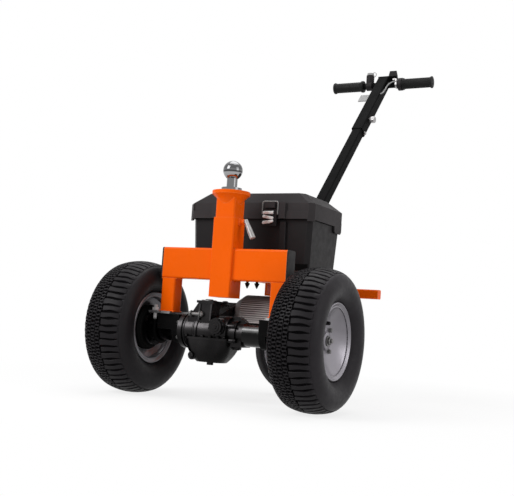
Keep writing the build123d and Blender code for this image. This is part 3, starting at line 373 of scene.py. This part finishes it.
class Shape:
    """Collects rings of points and the faces between them, and makes one piece of them."""

    def __init__(self):
        self.points, self.faces = [], []

    def rings(self, rings, close=False):
        """Skins rings of equal length; a closed skin joins the last to the first, an open one has caps."""
        n, count, base = len(rings[0]), len(rings), len(self.points)
        for ring in rings:
            self.points += [tuple(p) for p in ring]
        for i in range(count if close else count - 1):
            a, b = base + i * n, base + (i + 1) % count * n
            for j in range(n):
                k = (j + 1) % n
                self.faces.append((a + j, a + k, b + k, b + j))
        if not close:
            self.faces.append(tuple(base + j for j in reversed(range(n))))
            self.faces.append(tuple(base + (count - 1) * n + j for j in range(n)))

    def turned(self, profile, place, axis, facets, close=False, wave=None):
        """A profile of (along, radius) turned about an axis; wave changes the radius round it."""
        axis = axis.normalized()
        u = axis.orthogonal().normalized()
        w = axis.cross(u)
        rings = []
        for along, radius in profile:
            ring = []
            for j in range(facets):
                t = 2 * math.pi * j / facets
                r = max(radius + (wave(along, j) if wave else 0.0), LEAST_R)
                ring.append(place + axis * along * MM + (u * math.cos(t) + w * math.sin(t)) * r * MM)
            rings.append(ring)
        self.rings(rings, close)

    def bolt(self, place, axis, r, height, washer=True):
        if washer:
            self.turned([(r * along, r * radius) for along, radius in WASHER], place, axis, facets=18)
        z = r * HEAD_FROM
        outline = [(z, r), (z + height * CHAMFER_FROM, r), (z + height, r * HEAD_TOP)]
        self.turned(outline, place, axis, facets=6)

    def wire(self, points, r, facets, close=False, beat=0.0):
        """A round wire through points; beat makes the ripples of a weld."""
        rings = []
        count = len(points)
        angles = [2 * math.pi * j / facets for j in range(facets)]
        for i, p in enumerate(points):
            before = points[(i - 1) % count] if close or i else p
            after = points[(i + 1) % count] if close or i < count - 1 else p
            d = (after - before).normalized()
            u = d.orthogonal().normalized()
            if abs(d.z) < STEEP:
                u = (Z_AXIS - d * d.z).normalized()
            w = d.cross(u)
            thick = r * (1 + beat * math.cos(i * math.pi))
            rings.append([p + (u * math.cos(t) + w * math.sin(t)) * thick * MM for t in angles])
        self.rings(rings, close)

    def make(self, name, slot, body, hides=(), mat=None, angle=38.0):
        mesh = bpy.data.meshes.new(name)
        mesh.from_pydata(self.points, [], self.faces)
        loose = bmesh.new()
        loose.from_mesh(mesh)
        bmesh.ops.recalc_face_normals(loose, faces=loose.faces)
        loose.to_mesh(mesh)
        loose.free()
        mesh.polygons.foreach_set("use_smooth", [True] * len(mesh.polygons))
        mesh.set_sharp_from_angle(angle=math.radians(angle))
        mesh.materials.append(mat or MATS[slot])
        piece = placed(name, mesh)
        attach(piece, body)
        if hides:
            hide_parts(*hides)


# Cable from the throttle to the sleeve's side, on the tiller's upper face
CABLE_R, CABLE_FACE, CABLE_DROP = 2.5, -14.5, 82.0
CABLE_START, CABLE_BEND = 61.0, 29.0


def control_cable():
    curve = bpy.data.curves.new("throttle_cable", "CURVE")
    curve.dimensions = "3D"
    curve.bevel_depth = CABLE_R * MM
    curve.bevel_resolution = 4
    curve.resolution_u = 16
    low = BAR_REACH - CABLE_DROP
    route = [head(CABLE_START, CABLE_FACE, BAR_REACH),
             head(CABLE_BEND, CABLE_FACE, BAR_REACH),
             head(CABLE_BEND, CABLE_FACE, low),
             head(SLEEVE_HALF, CABLE_FACE, low)]
    spline = curve.splines.new("NURBS")
    spline.points.add(len(route) - 1)
    for point, place in zip(spline.points, route):
        point.co = (*place, 1.0)
    spline.order_u = 3
    spline.use_endpoint_u = True
    cable = placed("throttle_cable", curve)
    curve.materials.append(MATS["cable_grey"])
    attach(cable, "tiller_head")
    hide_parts("control_cable")


control_cable()

# Turf tyres: crown, shoulder and lower side as arcs (centre along the axle, its radius, arc radius, angles)
TYRE_ARCS = ((0.0, 28.67, 136.33, 90.0, 72.94),
             (27.15, 125.0, 36.35, 69.3, 0.0),
             (24.26, 125.0, 39.24, 0.0, -63.1))
TYRE_FACETS = 128
# Distances along the section from the crown's middle: the outer tread's end, the inner edge's lugs and
# how far the tread goes on past their start, the stretch in which a groove runs out, and the side's end
TREAD_END, EDGE_FROM, EDGE_TREAD, RUN_OUT, SIDE_END = 53.0, -55.5, 16.0, 14.0, 127.5
SIDE_STEPS = 60
BEAD_HALF, BEAD_R = 41.9, 77.2
# A groove's depth, and the carcass and the dark sheet's two faces as shares of it. The dark sheet lines the
# grooves' floors as painted shade
GROOVE_DEPTH = 5.0
CARCASS_DEPTH, BASE_TOP, BASE_BOTTOM = 1.15, 1.0, 1.4
# How far the painted-shade sheet lies below that, and how far it ends short of the tread
BASE_SINK, BASE_SHORT, BASE_STEPS = 0.05, 7.0, 40
# A lug's section (share of its half width, share of its depth), its root and its narrower ends
LUG_SECTION = ((-1.12, 1.0), (-1.0, 0.16), (-0.86, 0.0), (0.86, 0.0), (1.0, 0.16), (1.12, 1.0))
LUG_ROOT, LUG_SINK, LUG_END = 1.1, 0.4, 0.9
# Outer bars, the even ones nearer to the crown, with flared ends; widths and sways are shares of the pitch
BARS = 62
BAR_FROM, BAR_TO, BAR_STEPS = 3.5, 51.0, 7
EVEN_FROM, EVEN_TO = 2.6, 2.0
BAR_HALF, BAR_VARIES, BAR_SWAY, BAR_FLARE = 0.315, 0.04, 0.05, 0.32
# Short lugs at the inner edge, as distances from EDGE_FROM
EDGE_LINE, EDGE_HALF = (0.0, 6.0, 14.0), 0.3
# Rows of small hooks over the crown, and a hook's line (distance along, share of its zigzag)
HOOK_ROWS = (-6.5, -20.0, -33.5, -47.0)
HOOK_LINE = ((-6.3, -1.0), (-4.4, 0.4), (0.0, 0.15), (4.4, -0.4), (6.3, 1.0))
HOOK_HALF, HOOK_ZIGZAG, HOOK_SHIFT = 0.125, 0.17, 0.17
# Steps of the sines that make lugs uneven: along a bar, from bar to bar, from hook to hook and row to row
SWAY_STEP, BAR_STEP, HOOK_STEP, ROW_STEP = 0.9, 2.3, 7.0, 2.0


def section(s, depth):
    """A point (along the axle, radius) at a distance s from the crown's middle and a depth below the side."""
    left = abs(s)
    sign = 1 if s >= 0 else -1
    for cx, cy, r, first, last in TYRE_ARCS:
        length = r * math.radians(first - last)
        if left <= length:
            t = math.radians(first) - left / r
            return sign * (cx + (r - depth) * math.cos(t)), cy + (r - depth) * math.sin(t)
        left -= length


def tread_end(s):
    return TREAD_END if s > 0 else EDGE_TREAD - EDGE_FROM


def groove(s):
    """Depth of the tread's grooves, running out on the side wall."""
    return GROOVE_DEPTH * min(1.0, max(0.0, (tread_end(s) - abs(s)) / RUN_OUT))


def carcass():
    steps = [SIDE_END * (2 * i / SIDE_STEPS - 1) for i in range(SIDE_STEPS + 1)]
    outside = [section(s, groove(s) * CARCASS_DEPTH) for s in steps]
    return outside + [(BEAD_HALF, BEAD_R), (-BEAD_HALF, BEAD_R)]


# The dark sheet in the grooves: painted shade in the tread's recesses
def groove_shade_sheet():
    first, last = BASE_SHORT - tread_end(-1), tread_end(1) - BASE_SHORT
    steps = [first + (last - first) * i / BASE_STEPS for i in range(BASE_STEPS + 1)]
    upper = [section(s, groove(s) * BASE_TOP + BASE_SINK) for s in steps]
    return upper + [section(s, groove(s) * BASE_BOTTOM + BASE_SINK) for s in reversed(steps)]


def turf_tyre(side):
    centre = at(side * WHEEL_X, 0, AXLE_UP)
    body = Shape()
    body.turned(carcass(), centre, X_AXIS, TYRE_FACETS, close=True)

    def spot(s, turn, depth):
        along, r = section(s, depth)
        return centre + Vector((along, r * math.sin(turn), r * math.cos(turn))) * MM

    def lug(line, half, flare=0.0):
        """A lug along a line of (distance from the crown's middle, turn), wider at its ends by flare."""
        rings = []
        last = len(line) - 1
        for i, (s, turn) in enumerate(line):
            depth = LUG_ROOT * groove(s) + LUG_SINK
            width = half * (1.0 if 0 < i < last else LUG_END)
            width *= 1.0 + flare * (1.0 - math.sin(math.pi * i / last))
            rings.append([spot(s, turn + k * width, h * depth) for k, h in LUG_SECTION])
        body.rings(rings)

    pitch = 2 * math.pi / BARS
    for i in range(BARS):
        first = BAR_FROM if i % 2 else BAR_FROM - EVEN_FROM
        last = BAR_TO if i % 2 else BAR_TO - EVEN_TO
        sways = [(i + BAR_SWAY * math.sin(j * SWAY_STEP + i)) * pitch for j in range(BAR_STEPS + 1)]
        bar = [(first + (last - first) * j / BAR_STEPS, turn) for j, turn in enumerate(sways)]
        lug(bar, (BAR_HALF + BAR_VARIES * math.sin(BAR_STEP * i)) * pitch, BAR_FLARE)
        lug([(EDGE_FROM - out, (i + 0.5) * pitch) for out in EDGE_LINE], EDGE_HALF * pitch)
    for i in range(2 * BARS):
        for row, middle in enumerate(HOOK_ROWS):
            turn = (i + 0.5 * (row % 2) + HOOK_SHIFT * math.sin(HOOK_STEP * i + ROW_STEP * row)) * pitch / 2
            zigzag = HOOK_ZIGZAG * pitch * (1 if (row + i) % 2 else -1)
            lug([(middle + out, turn + share * zigzag) for out, share in HOOK_LINE], HOOK_HALF * pitch)
    name = SIDES[side]
    body.make("turf_tyre_" + name, "tyre_rubber", "wheel_" + name, ("tyre_" + name,), angle=30)
    # The dark sheet in the grooves is painted shade
    base = Shape()
    base.turned(groove_shade_sheet(), centre, X_AXIS, TYRE_FACETS, close=True)
    base.make("groove_shade_sheet_" + name, "tyre_rubber", "wheel_" + name, (), MATS["groove_painted_shade"], 40)


# Rims as (along the axle, radius): seat and lip, and a bowl that rises to its edge by a power
SEAT_HALF, SEAT_R, FLANGE_R = 42.0, 77.2, 84.5
LIP = arc(44.0, 86.4, 2.4, 190, -70, 10) + [(43.8, 82.0), (41.0, 78.4), (38.0, 76.0)]
BOWL_AT, BOWL_EDGE, BACK_AT, BACK_EDGE = 14.0, 38.0, -6.0, -32.0
BOWL_R, BOWL_POWER = 76.0, 2.4
BOWL_RADII = (74.0, 71.0, 68.0, 64.0, 60.0, 56.0, 52.0, 48.0, 44.0, 40.0, 36.0, 30.0)
BORE_R, BACK_R, BACK_LIP = 12.2, 34.0, (-36.0, 75.4)
# From the bowl's middle: the boss, the wheel bolts and their circle, the axle's nut and end, and the valve
BOSS = ((4.0, 22.0), (9.0, 20.0), (10.0, 18.0), (10.0, BORE_R))
BOLT_OUT, BOLT_CIRCLE, NUT_OUT, AXLE_END = 3.0, 34.0, 10.0, 17.5
AXLE_TIP = ((0, 4.6), (4.0, 4.6), (5.0, 3.6))
VALVE = ((1.0, 6.5), (5.0, 6.0), (7.0, 4.4), (17.0, 4.0), (18.0, 3.0))
VALVE_Y, VALVE_Z = -10.0, 40.0


def bowl(r, middle, edge):
    return middle + (edge - middle) * (r / BOWL_R) ** BOWL_POWER, r


def dished_rim(side):
    name = SIDES[side]
    centre = at(side * WHEEL_X, 0, AXLE_UP)
    out = X_AXIS * side
    profile = [(-SEAT_HALF, SEAT_R), (SEAT_HALF, SEAT_R), (SEAT_HALF, FLANGE_R)] + LIP
    profile += [bowl(r, BOWL_AT, BOWL_EDGE) for r in BOWL_RADII]
    profile += [(BOWL_AT + along, r) for along, r in BOSS] + [(BACK_AT, BORE_R), (BACK_AT, BACK_R)]
    profile += [bowl(r, BACK_AT, BACK_EDGE) for r in reversed(BOWL_RADII[:-2])] + [BACK_LIP]
    profile += [(-along, r) for along, r in reversed(LIP[:-1])] + [(-SEAT_HALF, FLANGE_R)]
    rim = Shape()
    rim.turned(profile, centre, out, facets=96, close=True)
    rim.make("dished_rim_" + name, "rim_silver", "wheel_" + name, ("rim_" + name,), MATS["rim_paint"], 34)
    middle = centre + out * BOWL_AT * MM
    lugs = Shape()
    for t in turns(4, 45):
        lugs.bolt(upright_circle(middle + out * BOLT_OUT * MM, BOLT_CIRCLE, t), out, r=5.0, height=5.0)
    lugs.bolt(middle + out * NUT_OUT * MM, out, r=9.0, height=6.0)
    lugs.turned(AXLE_TIP, middle + out * AXLE_END * MM, out, facets=16)
    lugs.make("lug_bolts_" + name, "zinc_steel", "wheel_" + name, mat=MATS["dull_steel"])
    valve = Shape()
    valve.turned(VALVE, middle + Vector((0, VALVE_Y, VALVE_Z)) * MM, out, facets=16)
    valve.make("tyre_valve_" + name, "tyre_rubber", "wheel_" + name)


for side in SIDES:
    turf_tyre(side)
    dished_rim(side)

# Rear swivel wheel: its turn, trail behind the king pin, radius, and a tyre with four grooves on a crown
CASTER_TURN = math.radians(-55.0)
CASTER_TRAIL, KING_Y, CASTER_R = 50.0, 340.0, 127.0
CASTER_AXIS = Vector((math.cos(CASTER_TURN), math.sin(CASTER_TURN), 0.0))
CASTER_AT = at(-CASTER_TRAIL * math.sin(CASTER_TURN), KING_Y + CASTER_TRAIL * math.cos(CASTER_TURN), CASTER_R)
CASTER_GROOVES, CROWN_DROP, CROWN_HALF = (-13.0, -4.3, 4.3, 13.0), 2.5, 14.0
CASTER_GROOVE = ((-1.6, 0.0), (-0.9, 4.0), (0.9, 4.0), (1.6, 0.0))
CASTER_SIDE = ((17.0, 124.0), (23.0, 121.6), (28.5, 118.6), (31.2, 115.5), (32.0, 113.0), (31.4, 111.0),
               (29.5, 109.6), (27.0, 109.2), (27.0, 107.2))


def caster_tyre():
    profile = [(-along, r) for along, r in reversed(CASTER_SIDE)]
    for middle in CASTER_GROOVES:
        r = CASTER_R - CROWN_DROP * (middle / CROWN_HALF) ** 2
        profile += [(middle + along, r - depth) for along, depth in CASTER_GROOVE]
    tyre = Shape()
    tyre.turned(profile + list(CASTER_SIDE), CASTER_AT, CASTER_AXIS, facets=96, close=True)
    tyre.make("swivel_tyre", "tyre_rubber", "caster_wheel", ("caster_tyre",), angle=40)


caster_tyre()

# Finned motor: its left end, its outline (along, radius) and where its fins start and stop
MOTOR_X, MOTOR_Y, MOTOR_Z = -13.0, 97.0, 220.0
FINS_FROM, FINS_TO, FIN_DEPTH, MOTOR_R = 24.0, 106.0, 0.9, 41.0
MOTOR_OUTLINE = ((0, 27.0), (2.0, 28.5), (20.5, 40.2), (22.5, MOTOR_R), (FINS_FROM, MOTOR_R),
                 (FINS_TO, MOTOR_R), (106.5, MOTOR_R), (110.0, 40.6))


def motor():
    fins = Shape()
    fins.turned(MOTOR_OUTLINE, at(MOTOR_X, MOTOR_Y, MOTOR_Z), X_AXIS, facets=192,
                wave=ribs(FINS_FROM, FINS_TO, FIN_DEPTH))
    fins.make("finned_motor", "motor_metal", "chassis", ("drive_motor",), angle=25)


motor()

# Gear casing: the studs on its left face, and the spacers with bolts on its right face
STUD_X, STUD_CIRCLE = -106.0, 36.5
SPACER_X, SPACER_CIRCLE, SPACER = 27.5, 34.0, ((0, 5.2), (16.0, 5.2), (17.0, 4.6))
SPACER_END = 17.0
# The front cover with its bolts, the row of bolts along the sump's flange, and the drain
COVER_X, COVER_Y, COVER_Z, COVER_CIRCLE = 3.0, -44.0, AXLE_UP + 14.0, 18.9
COVER_FACE, COVER_DISC = -51.0, ((0, 12.0), (1.5, 11.4), (1.5, 6.0), (3.0, 5.4))
SUMP_X, SUMP_Y, SUMP_Z = (-80.0, -58.0, -36.0, -14.0, 8.0, 24.0), -42.0, AXLE_UP - 13.5
DRAIN_X, DRAIN_Y, DRAIN_Z = -66.0, -31.0, 107.0
DRAIN_BOSS, DRAIN_PLUG_OUT = ((-10.0, 10.5), (1.0, 10.5), (2.0, 9.8)), 2.0
# The collars round the left neck, and the upright webs on the front: back face, and (height, front face)
COLLAR_X, COLLAR = (-92.5, -66.0), ((0, 41.2), (1.0, 41.8), (3.5, 41.8), (4.5, 41.2))
WEB_X, WEB_HALF, WEB_BACK, WEB_ENDS = (-50.0, -18.5), 2.0, -34.0, ((192.0, -40.0), (231.0, -36.0))
# The cap on top with its ring, and the tie rod with its nuts
CAP_X, CAP_Y, CAP_Z = -36.0, -17.0, 239.0
CAP, CAP_RING_X, CAP_RING_Y, CAP_RING_UP = ((0, 9.0), (1.0, 9.6), (3.0, 9.6), (3.8, 8.6)), 17.5, 16.0, 0.4
ROD_X, ROD_Y, ROD_Z, ROD = -79.0, -38.4, 206.0, ((0, 3.0), (0.8, 4.0), (40.0, 4.0), (40.8, 3.0))
ROD_NUTS = ((-70.0, -1), (-47.0, 1))


def casing_fittings():
    dark, studs, rod = Shape(), Shape(), Shape()
    for t in turns(6, 30):
        studs.bolt(upright_circle(at(STUD_X, 0, AXLE_UP), STUD_CIRCLE, t), -X_AXIS, r=4.6, height=6.0)
        spacer = upright_circle(at(SPACER_X, 0, AXLE_UP), SPACER_CIRCLE, t)
        dark.turned(SPACER, spacer, X_AXIS, facets=14)
        dark.bolt(spacer + X_AXIS * SPACER_END * MM, X_AXIS, r=4.2, height=4.0, washer=False)
    for t in turns(6, 15):
        place = at(COVER_X + COVER_CIRCLE * math.cos(t), COVER_Y, COVER_Z + COVER_CIRCLE * math.sin(t))
        dark.bolt(place, -Y_AXIS, r=2.7, height=3.0, washer=False)
    dark.turned(COVER_DISC, at(COVER_X, COVER_FACE, COVER_Z), -Y_AXIS, facets=24)
    for x in SUMP_X:
        dark.bolt(at(x, SUMP_Y, SUMP_Z), Z_AXIS, r=3.6, height=4.0)
    dark.turned(DRAIN_BOSS, at(DRAIN_X, DRAIN_Y, DRAIN_Z), -Y_AXIS, facets=24)
    plug = at(DRAIN_X, DRAIN_Y - DRAIN_PLUG_OUT, DRAIN_Z)
    dark.bolt(plug, -Y_AXIS, r=7.2, height=5.0, washer=False)
    for x in COLLAR_X:
        dark.turned(COLLAR, at(x, 0, AXLE_UP), X_AXIS, facets=64, close=True)
    for x in WEB_X:
        dark.rings([[at(x + dx, y, z) for dx, y in corners(-WEB_HALF, WEB_HALF, WEB_BACK, front)]
                    for z, front in WEB_ENDS])
    studs.wire([at(CAP_X + CAP_RING_X * math.cos(t), CAP_Y + CAP_RING_Y * math.sin(t), CAP_Z + CAP_RING_UP)
                for t in turns(40, 0)], r=1.5, facets=8, close=True)
    studs.turned(CAP, at(CAP_X, CAP_Y, CAP_Z), Z_AXIS, facets=24)
    rod.turned(ROD, at(ROD_X, ROD_Y, ROD_Z), X_AXIS, facets=16)
    for x, way in ROD_NUTS:
        rod.bolt(at(x, ROD_Y, ROD_Z), X_AXIS * way, r=6.4, height=5.5)
    dark.make("casing_bolts", "black_cast", "chassis", angle=32)
    studs.make("flange_studs", "zinc_steel", "chassis", mat=MATS["dull_steel"], angle=32)
    rod.make("casing_tie_rod", "motor_metal", "chassis", mat=MATS["dull_steel"], angle=32)


casing_fittings()

# Weld beads where the orange tubes meet: bead radii, the ripple's step and height, and the tubes' faces
FINE_BEAD, BROAD_BEAD, RIPPLE_STEP, RIPPLE = 2.0, 2.2, 2.2, 0.16
LEG_IN, LEG_OUT, LEG_FOOT, LEG_CORNER = 130.5, 168.5, 208.0, 3.0
RAIL_IN, RAIL_OUT, RAIL_LOW, RAIL_HIGH = 37.5, 62.5, 301.5, 326.5
RAIL_END, RAIL_CORNER = 374.5, 1.5
SOCKET_HALF, SOCKET_FRONT, SOCKET_BACK = 24.0, 323.0, 374.0


def welds():
    beads = Shape()

    def seam(line, r, close=True):
        points = []
        for start, end in zip(line, line[1:] + line[:1] if close else line[1:]):
            count = max(2, int((end - start).length / (RIPPLE_STEP * MM)))
            points += [start.lerp(end, i / count) for i in range(count)]
        beads.wire(points, r, facets=6, close=close, beat=RIPPLE)

    for s in SIDES:
        seam([at(s * MAST_HALF, y, z) for z, y in corners(BEAM_LOW, BEAM_HIGH, BEAM_FRONT, BEAM_BACK)],
             FINE_BEAD)
        for x in (LEG_IN, LEG_OUT):
            seam([at(s * x, BEAM_FRONT + LEG_CORNER, BEAM_LOW), at(s * x, BEAM_BACK - LEG_CORNER, BEAM_LOW)],
                 BROAD_BEAD, close=False)
        seam([at(s * x, y, LEG_FOOT) for x, y in corners(LEG_IN, LEG_OUT, BEAM_FRONT, BEAM_BACK)], BROAD_BEAD)
        seam([at(s * x, BEAM_BACK, z) for x, z in corners(RAIL_IN, RAIL_OUT, RAIL_LOW, RAIL_HIGH)], FINE_BEAD)
        seam([at(s * SOCKET_HALF, y, FOOT_Z) for y in (SOCKET_FRONT, SOCKET_BACK)], BROAD_BEAD, close=False)
        seam([at(s * x, RAIL_END, RAIL_LOW) for x in (RAIL_IN + RAIL_CORNER, RAIL_OUT - RAIL_CORNER)],
             FINE_BEAD, close=False)
    beads.make("weld_beads", "frame_orange", "chassis", angle=60)


welds()

# Grips as (along, radius): fine rings between the plain one's ends, and ribs (from, to, depth) on the other
PLAIN_X = -182.0
PLAIN_START = [(0, 10.0), (0.4, 15.0), (1.6, 18.4), (4.0, 20.0), (7.0, 19.6), (9.5, 17.9), (14.0, 17.3)]
PLAIN_END = [(103.5, 17.6), (105.5, 20.2), (112.0, 20.6), (114.4, 19.4), (115.0, 15.0)]
RINGS, RINGS_FROM, RINGS_LONG, RING_R, RING_DEPTH = 22, 14.0, 88.0, 17.4, 0.5
TWIST_X, TWIST_RIBS = 74.0, (9.6, 98.5, 0.9)
TWIST = ((0, 14.0), (0.6, 19.4), (2.0, 20.6), (6.0, 20.6), (7.6, 18.0), (9.0, 17.6), (9.6, 17.6),
         (98.5, 17.4), (99.5, 17.4), (101.0, 19.2), (103.0, 20.4), (106.5, 20.4), (107.6, 18.6),
         (108.0, 12.0))


def grips():
    left, right = Shape(), Shape()
    rings = [(RINGS_FROM + RINGS_LONG * i / RINGS, RING_R - RING_DEPTH * (i % 2))
             for i in range(1, RINGS + 1)]
    left.turned(PLAIN_START + rings + PLAIN_END, head(PLAIN_X, 0, BAR_REACH), X_AXIS, facets=48)
    left.make("grip_plain", "grip_rubber", "tiller_head", ("grip_left",), angle=50)
    right.turned(TWIST, head(TWIST_X, 0, BAR_REACH), X_AXIS, facets=96, wave=ribs(*TWIST_RIBS))
    right.make("grip_twist", "grip_rubber", "tiller_head", ("grip_throttle",), angle=40)


# Clamp ring and its bolt on the bar, the throttle's push pin, the sleeve's bolt and the key with its bow
CLAMP_X, CLAMP_RING = 50.0, ((0, 13.0), (0.6, 14.4), (6.0, 14.4), (6.6, 13.0))
CLAMP_BOLT_X, CLAMP_BOLT_FACE = 53.5, -13.5
PIN_X, PIN_FACE, PIN_UP, PIN = 40.0, -15.5, 9.0, ((0, 4.0), (12.0, 4.0), (13.0, 3.0))
SLEEVE_BOLT_FACE, SLEEVE_BOLT_UP = 9.0, 7.0
KEY_X, KEY_Y, KEY_UP = -46.0, -2.0, 41.0
BOW_X, BOW_HALF, BOW_HIGH, KEY_SHANK = 15.5, 6.5, 8.0, (9.0, 11.0)
# The lock knob on the sleeve's side, with a knurl (from, to, depth) round its head
KNOB_UP, KNURL = 75.0, (6.4, 17.5, 0.6)
KNOB = ((-2.0, 5.0), (0, 5.0), (0.2, 8.5), (2.5, 8.5), (2.7, 5.0), (5.0, 5.0), (5.2, 10.0), (6.4, 11.0),
        (17.5, 11.0), (18.7, 10.0), (19.0, 6.0))


def controls():
    bits, knob = Shape(), Shape()
    bits.turned(CLAMP_RING, head(CLAMP_X, 0, BAR_REACH), X_AXIS, facets=32)
    upper_face = head(0, -1, 0) - head(0, 0, 0)
    bits.bolt(head(CLAMP_BOLT_X, CLAMP_BOLT_FACE, BAR_REACH), upper_face, r=4.0, height=4.0)
    bits.turned(PIN, head(PIN_X, PIN_FACE, BAR_REACH + PIN_UP), X_AXIS, facets=14)
    sleeve_bolt = head(SLEEVE_HALF, SLEEVE_BOLT_FACE, SLEEVE_LOW + SLEEVE_BOLT_UP)
    bits.bolt(sleeve_bolt, X_AXIS, r=5.0, height=4.0)
    key = head(KEY_X, 0, BAR_REACH) + Vector((0, KEY_Y, KEY_UP)) * MM
    bits.wire([key + Vector((BOW_X + BOW_HALF * math.cos(t), 0, BOW_HIGH * math.sin(t))) * MM
               for t in turns(24, 0)], r=1.5, facets=8, close=True)
    bits.wire([key + X_AXIS * x * MM for x in KEY_SHANK], r=1.6, facets=8)
    bits.make("tiller_fittings", "zinc_steel", "tiller_head", angle=35)
    knob.turned(KNOB, head(SLEEVE_HALF, 0, SLEEVE_LOW + KNOB_UP), X_AXIS, facets=48, wave=ribs(*KNURL))
    knob.make("knurled_knob", "zinc_steel", "tiller_head", ("lock_knob",), angle=30)


grips()
controls()

# Pointed bolts under the cross beam's right half, as (down, radius)
BEAM_BOLT_X, BEAM_BOLT_Y = (58.0, 83.5), -6.0
BEAM_BOLT = ((0, 3.2), (3.0, 3.2), (3.2, 6.0), (6.0, 5.6), (16.0, 1.0))


def beam_bolts():
    bolts = Shape()
    for x in BEAM_BOLT_X:
        bolts.turned(BEAM_BOLT, at(x, BEAM_BOLT_Y, BEAM_LOW), -Z_AXIS, facets=18)
    bolts.make("beam_bolts", "black_steel", "chassis", angle=35)


beam_bolts()

# Box latches: three slats each, at (height, lean)
SLATS = ((467.0, 0.02), (455.5, -0.16), (444.0, 0.14))
# A slat's stops (across, share of its full section) and rounded front (share of depth, share of half height)
SLAT_STOPS = ((43.5, 0.6), (45.0, 1.0), (58.0, 1.0), (72.0, 1.0), (73.5, 0.6))
SLAT_MIDDLE, SLAT_FACE, SLAT_DEPTH, SLAT_HALF = 58.5, 78.0, 3.0, 4.3
SLAT_SECTION = ((0.0, -1.0), (0.7, -0.8), (1.0, 0.0), (0.7, 0.8), (0.0, 1.0))


def latches():
    slats = Shape()
    for s in SIDES:
        for z, lean in SLATS:
            slats.rings([[at(s * x, SLAT_FACE - SLAT_DEPTH * thin * dy,
                             z + lean * (x - SLAT_MIDDLE) + SLAT_HALF * thin * dz) for dy, dz in SLAT_SECTION]
                         for x, thin in SLAT_STOPS])
    slats.make("latch_slats", "chrome", "lid", (), MATS["bright_steel"], 50)


# The mast's clamp: a boss on its right side, and a fluted handle that hangs from it
CLAMP_Y, BOSS_Z = -10.5, 432.0
CLAMP_BOSS = ((0, 9.0), (2.5, 9.0), (3.0, 6.5), (13.0, 6.5), (14.0, 5.5))
HANDLE_TOP, HANDLE_FOOT = (44.0, CLAMP_Y, 437.0), (67.0, CLAMP_Y, 393.0)
# The handle's outline as (share of its length, distance past that, radius)
HANDLE = ((0.0, 0.0, 3.5), (0.0, 0.8, 5.2), (0.25, 0.0, 5.6), (0.6, 0.0, 6.8), (1.0, -1.2, 7.2),
          (1.0, 0.0, 6.0))
FLUTE_FROM, FLUTE_EVERY, FLUTE_DEPTH = 2.0, 8, 1.3


def clamp_handle():
    boss, handle = Shape(), Shape()
    boss.turned(CLAMP_BOSS, at(MAST_HALF, CLAMP_Y, BOSS_Z), X_AXIS, facets=24)
    boss.make("clamp_boss", "frame_orange", "chassis", angle=40)
    axis = at(*HANDLE_FOOT) - at(*HANDLE_TOP)
    length = axis.length / MM
    outline = [(share * length + past, r) for share, past, r in HANDLE]

    def fluted(along, facet):
        return -FLUTE_DEPTH if facet % FLUTE_EVERY == 0 and along > FLUTE_FROM else 0.0

    handle.turned(outline, at(*HANDLE_TOP), axis, facets=32, wave=fluted)
    handle.make("clamp_handle", "chrome", "chassis", ("mast_clamp",), MATS["handle_steel"], 40)


latches()
clamp_handle()

# Floor, world and soft studio lamps
WHITE = (1.0, 1.0, 1.0, 1.0)
FLOOR_HALF, FLOOR_GREY = 9.0, (0.86, 0.86, 0.86, 1.0)
# The floor's glow grows from the shadow under the object to plain white, by distance in metres
GLOW_NEAR, GLOW_FAR, GLOW_LOW, GLOW_FULL = 0.55, 1.1, 0.8, 1.0
WORLD_STRENGTH = 0.42


def sees_background(tree):
    """1 for the rays that should see a white backdrop: camera, glossy and transmission rays."""
    path = tree.nodes.new("ShaderNodeLightPath")
    out = path.outputs["Is Camera Ray"]
    for other in ("Is Glossy Ray", "Is Transmission Ray"):
        out = maths(tree, "ShaderNodeMath", "MAXIMUM", out, path.outputs[other])
    return out


def white_floor():
    mesh = bpy.data.meshes.new("floor")
    square = corners(-FLOOR_HALF, FLOOR_HALF, -FLOOR_HALF, FLOOR_HALF)
    mesh.from_pydata([(x, y, 0) for x, y in square], [], [(0, 1, 2, 3)])
    floor = placed("floor", mesh)
    made = bpy.data.materials.new("floor")
    made.use_nodes = True
    tree = made.node_tree
    tree.nodes.remove(tree.nodes["Principled BSDF"])
    matt = node(tree, "ShaderNodeBsdfDiffuse", Color=FLOOR_GREY)
    glow = node(tree, "ShaderNodeEmission", Color=WHITE, Strength=1.0)
    local = tree.nodes.new("ShaderNodeTexCoord").outputs["Object"]
    away = maths(tree, "ShaderNodeVectorMath", "LENGTH", local)
    fade = span(tree, away, GLOW_NEAR, GLOW_FAR, GLOW_LOW, GLOW_FULL)
    share = maths(tree, "ShaderNodeMath", "MULTIPLY", sees_background(tree), fade)
    blend(tree, share, matt, glow, "Material Output")
    mesh.materials.append(made)


def white_world():
    world = bpy.data.worlds.new("studio")
    bpy.context.scene.world = world
    world.use_nodes = True
    tree = world.node_tree
    soft = tree.nodes["Background"]
    soft.inputs["Color"].default_value = WHITE
    soft.inputs["Strength"].default_value = WORLD_STRENGTH
    seen = node(tree, "ShaderNodeBackground", Color=WHITE, Strength=1.0)
    blend(tree, sees_background(tree), soft, seen, "World Output")


def lamp(name, place, aim, size, power):
    data = bpy.data.lights.new(name, "AREA")
    data.shape = "RECTANGLE"
    data.size, data.size_y = size
    data.energy = power
    light = placed(name, data)
    light.location = place
    light.rotation_mode = "QUATERNION"
    light.rotation_quaternion = (Vector(aim) - Vector(place)).to_track_quat("-Z", "Y")


white_floor()
white_world()
lamp("key", place=(-1.3, -2.6, 2.0), aim=(0.0, -0.2, 0.3), size=(1.6, 1.6), power=57.0)
lamp("side", place=(2.6, -0.6, 1.3), aim=(0.1, -0.3, 0.3), size=(1.4, 1.8), power=17.0)
lamp("top", place=(0.0, 0.1, 2.8), aim=(0.0, -0.1, 0.3), size=(2.2, 2.2), power=37.0)
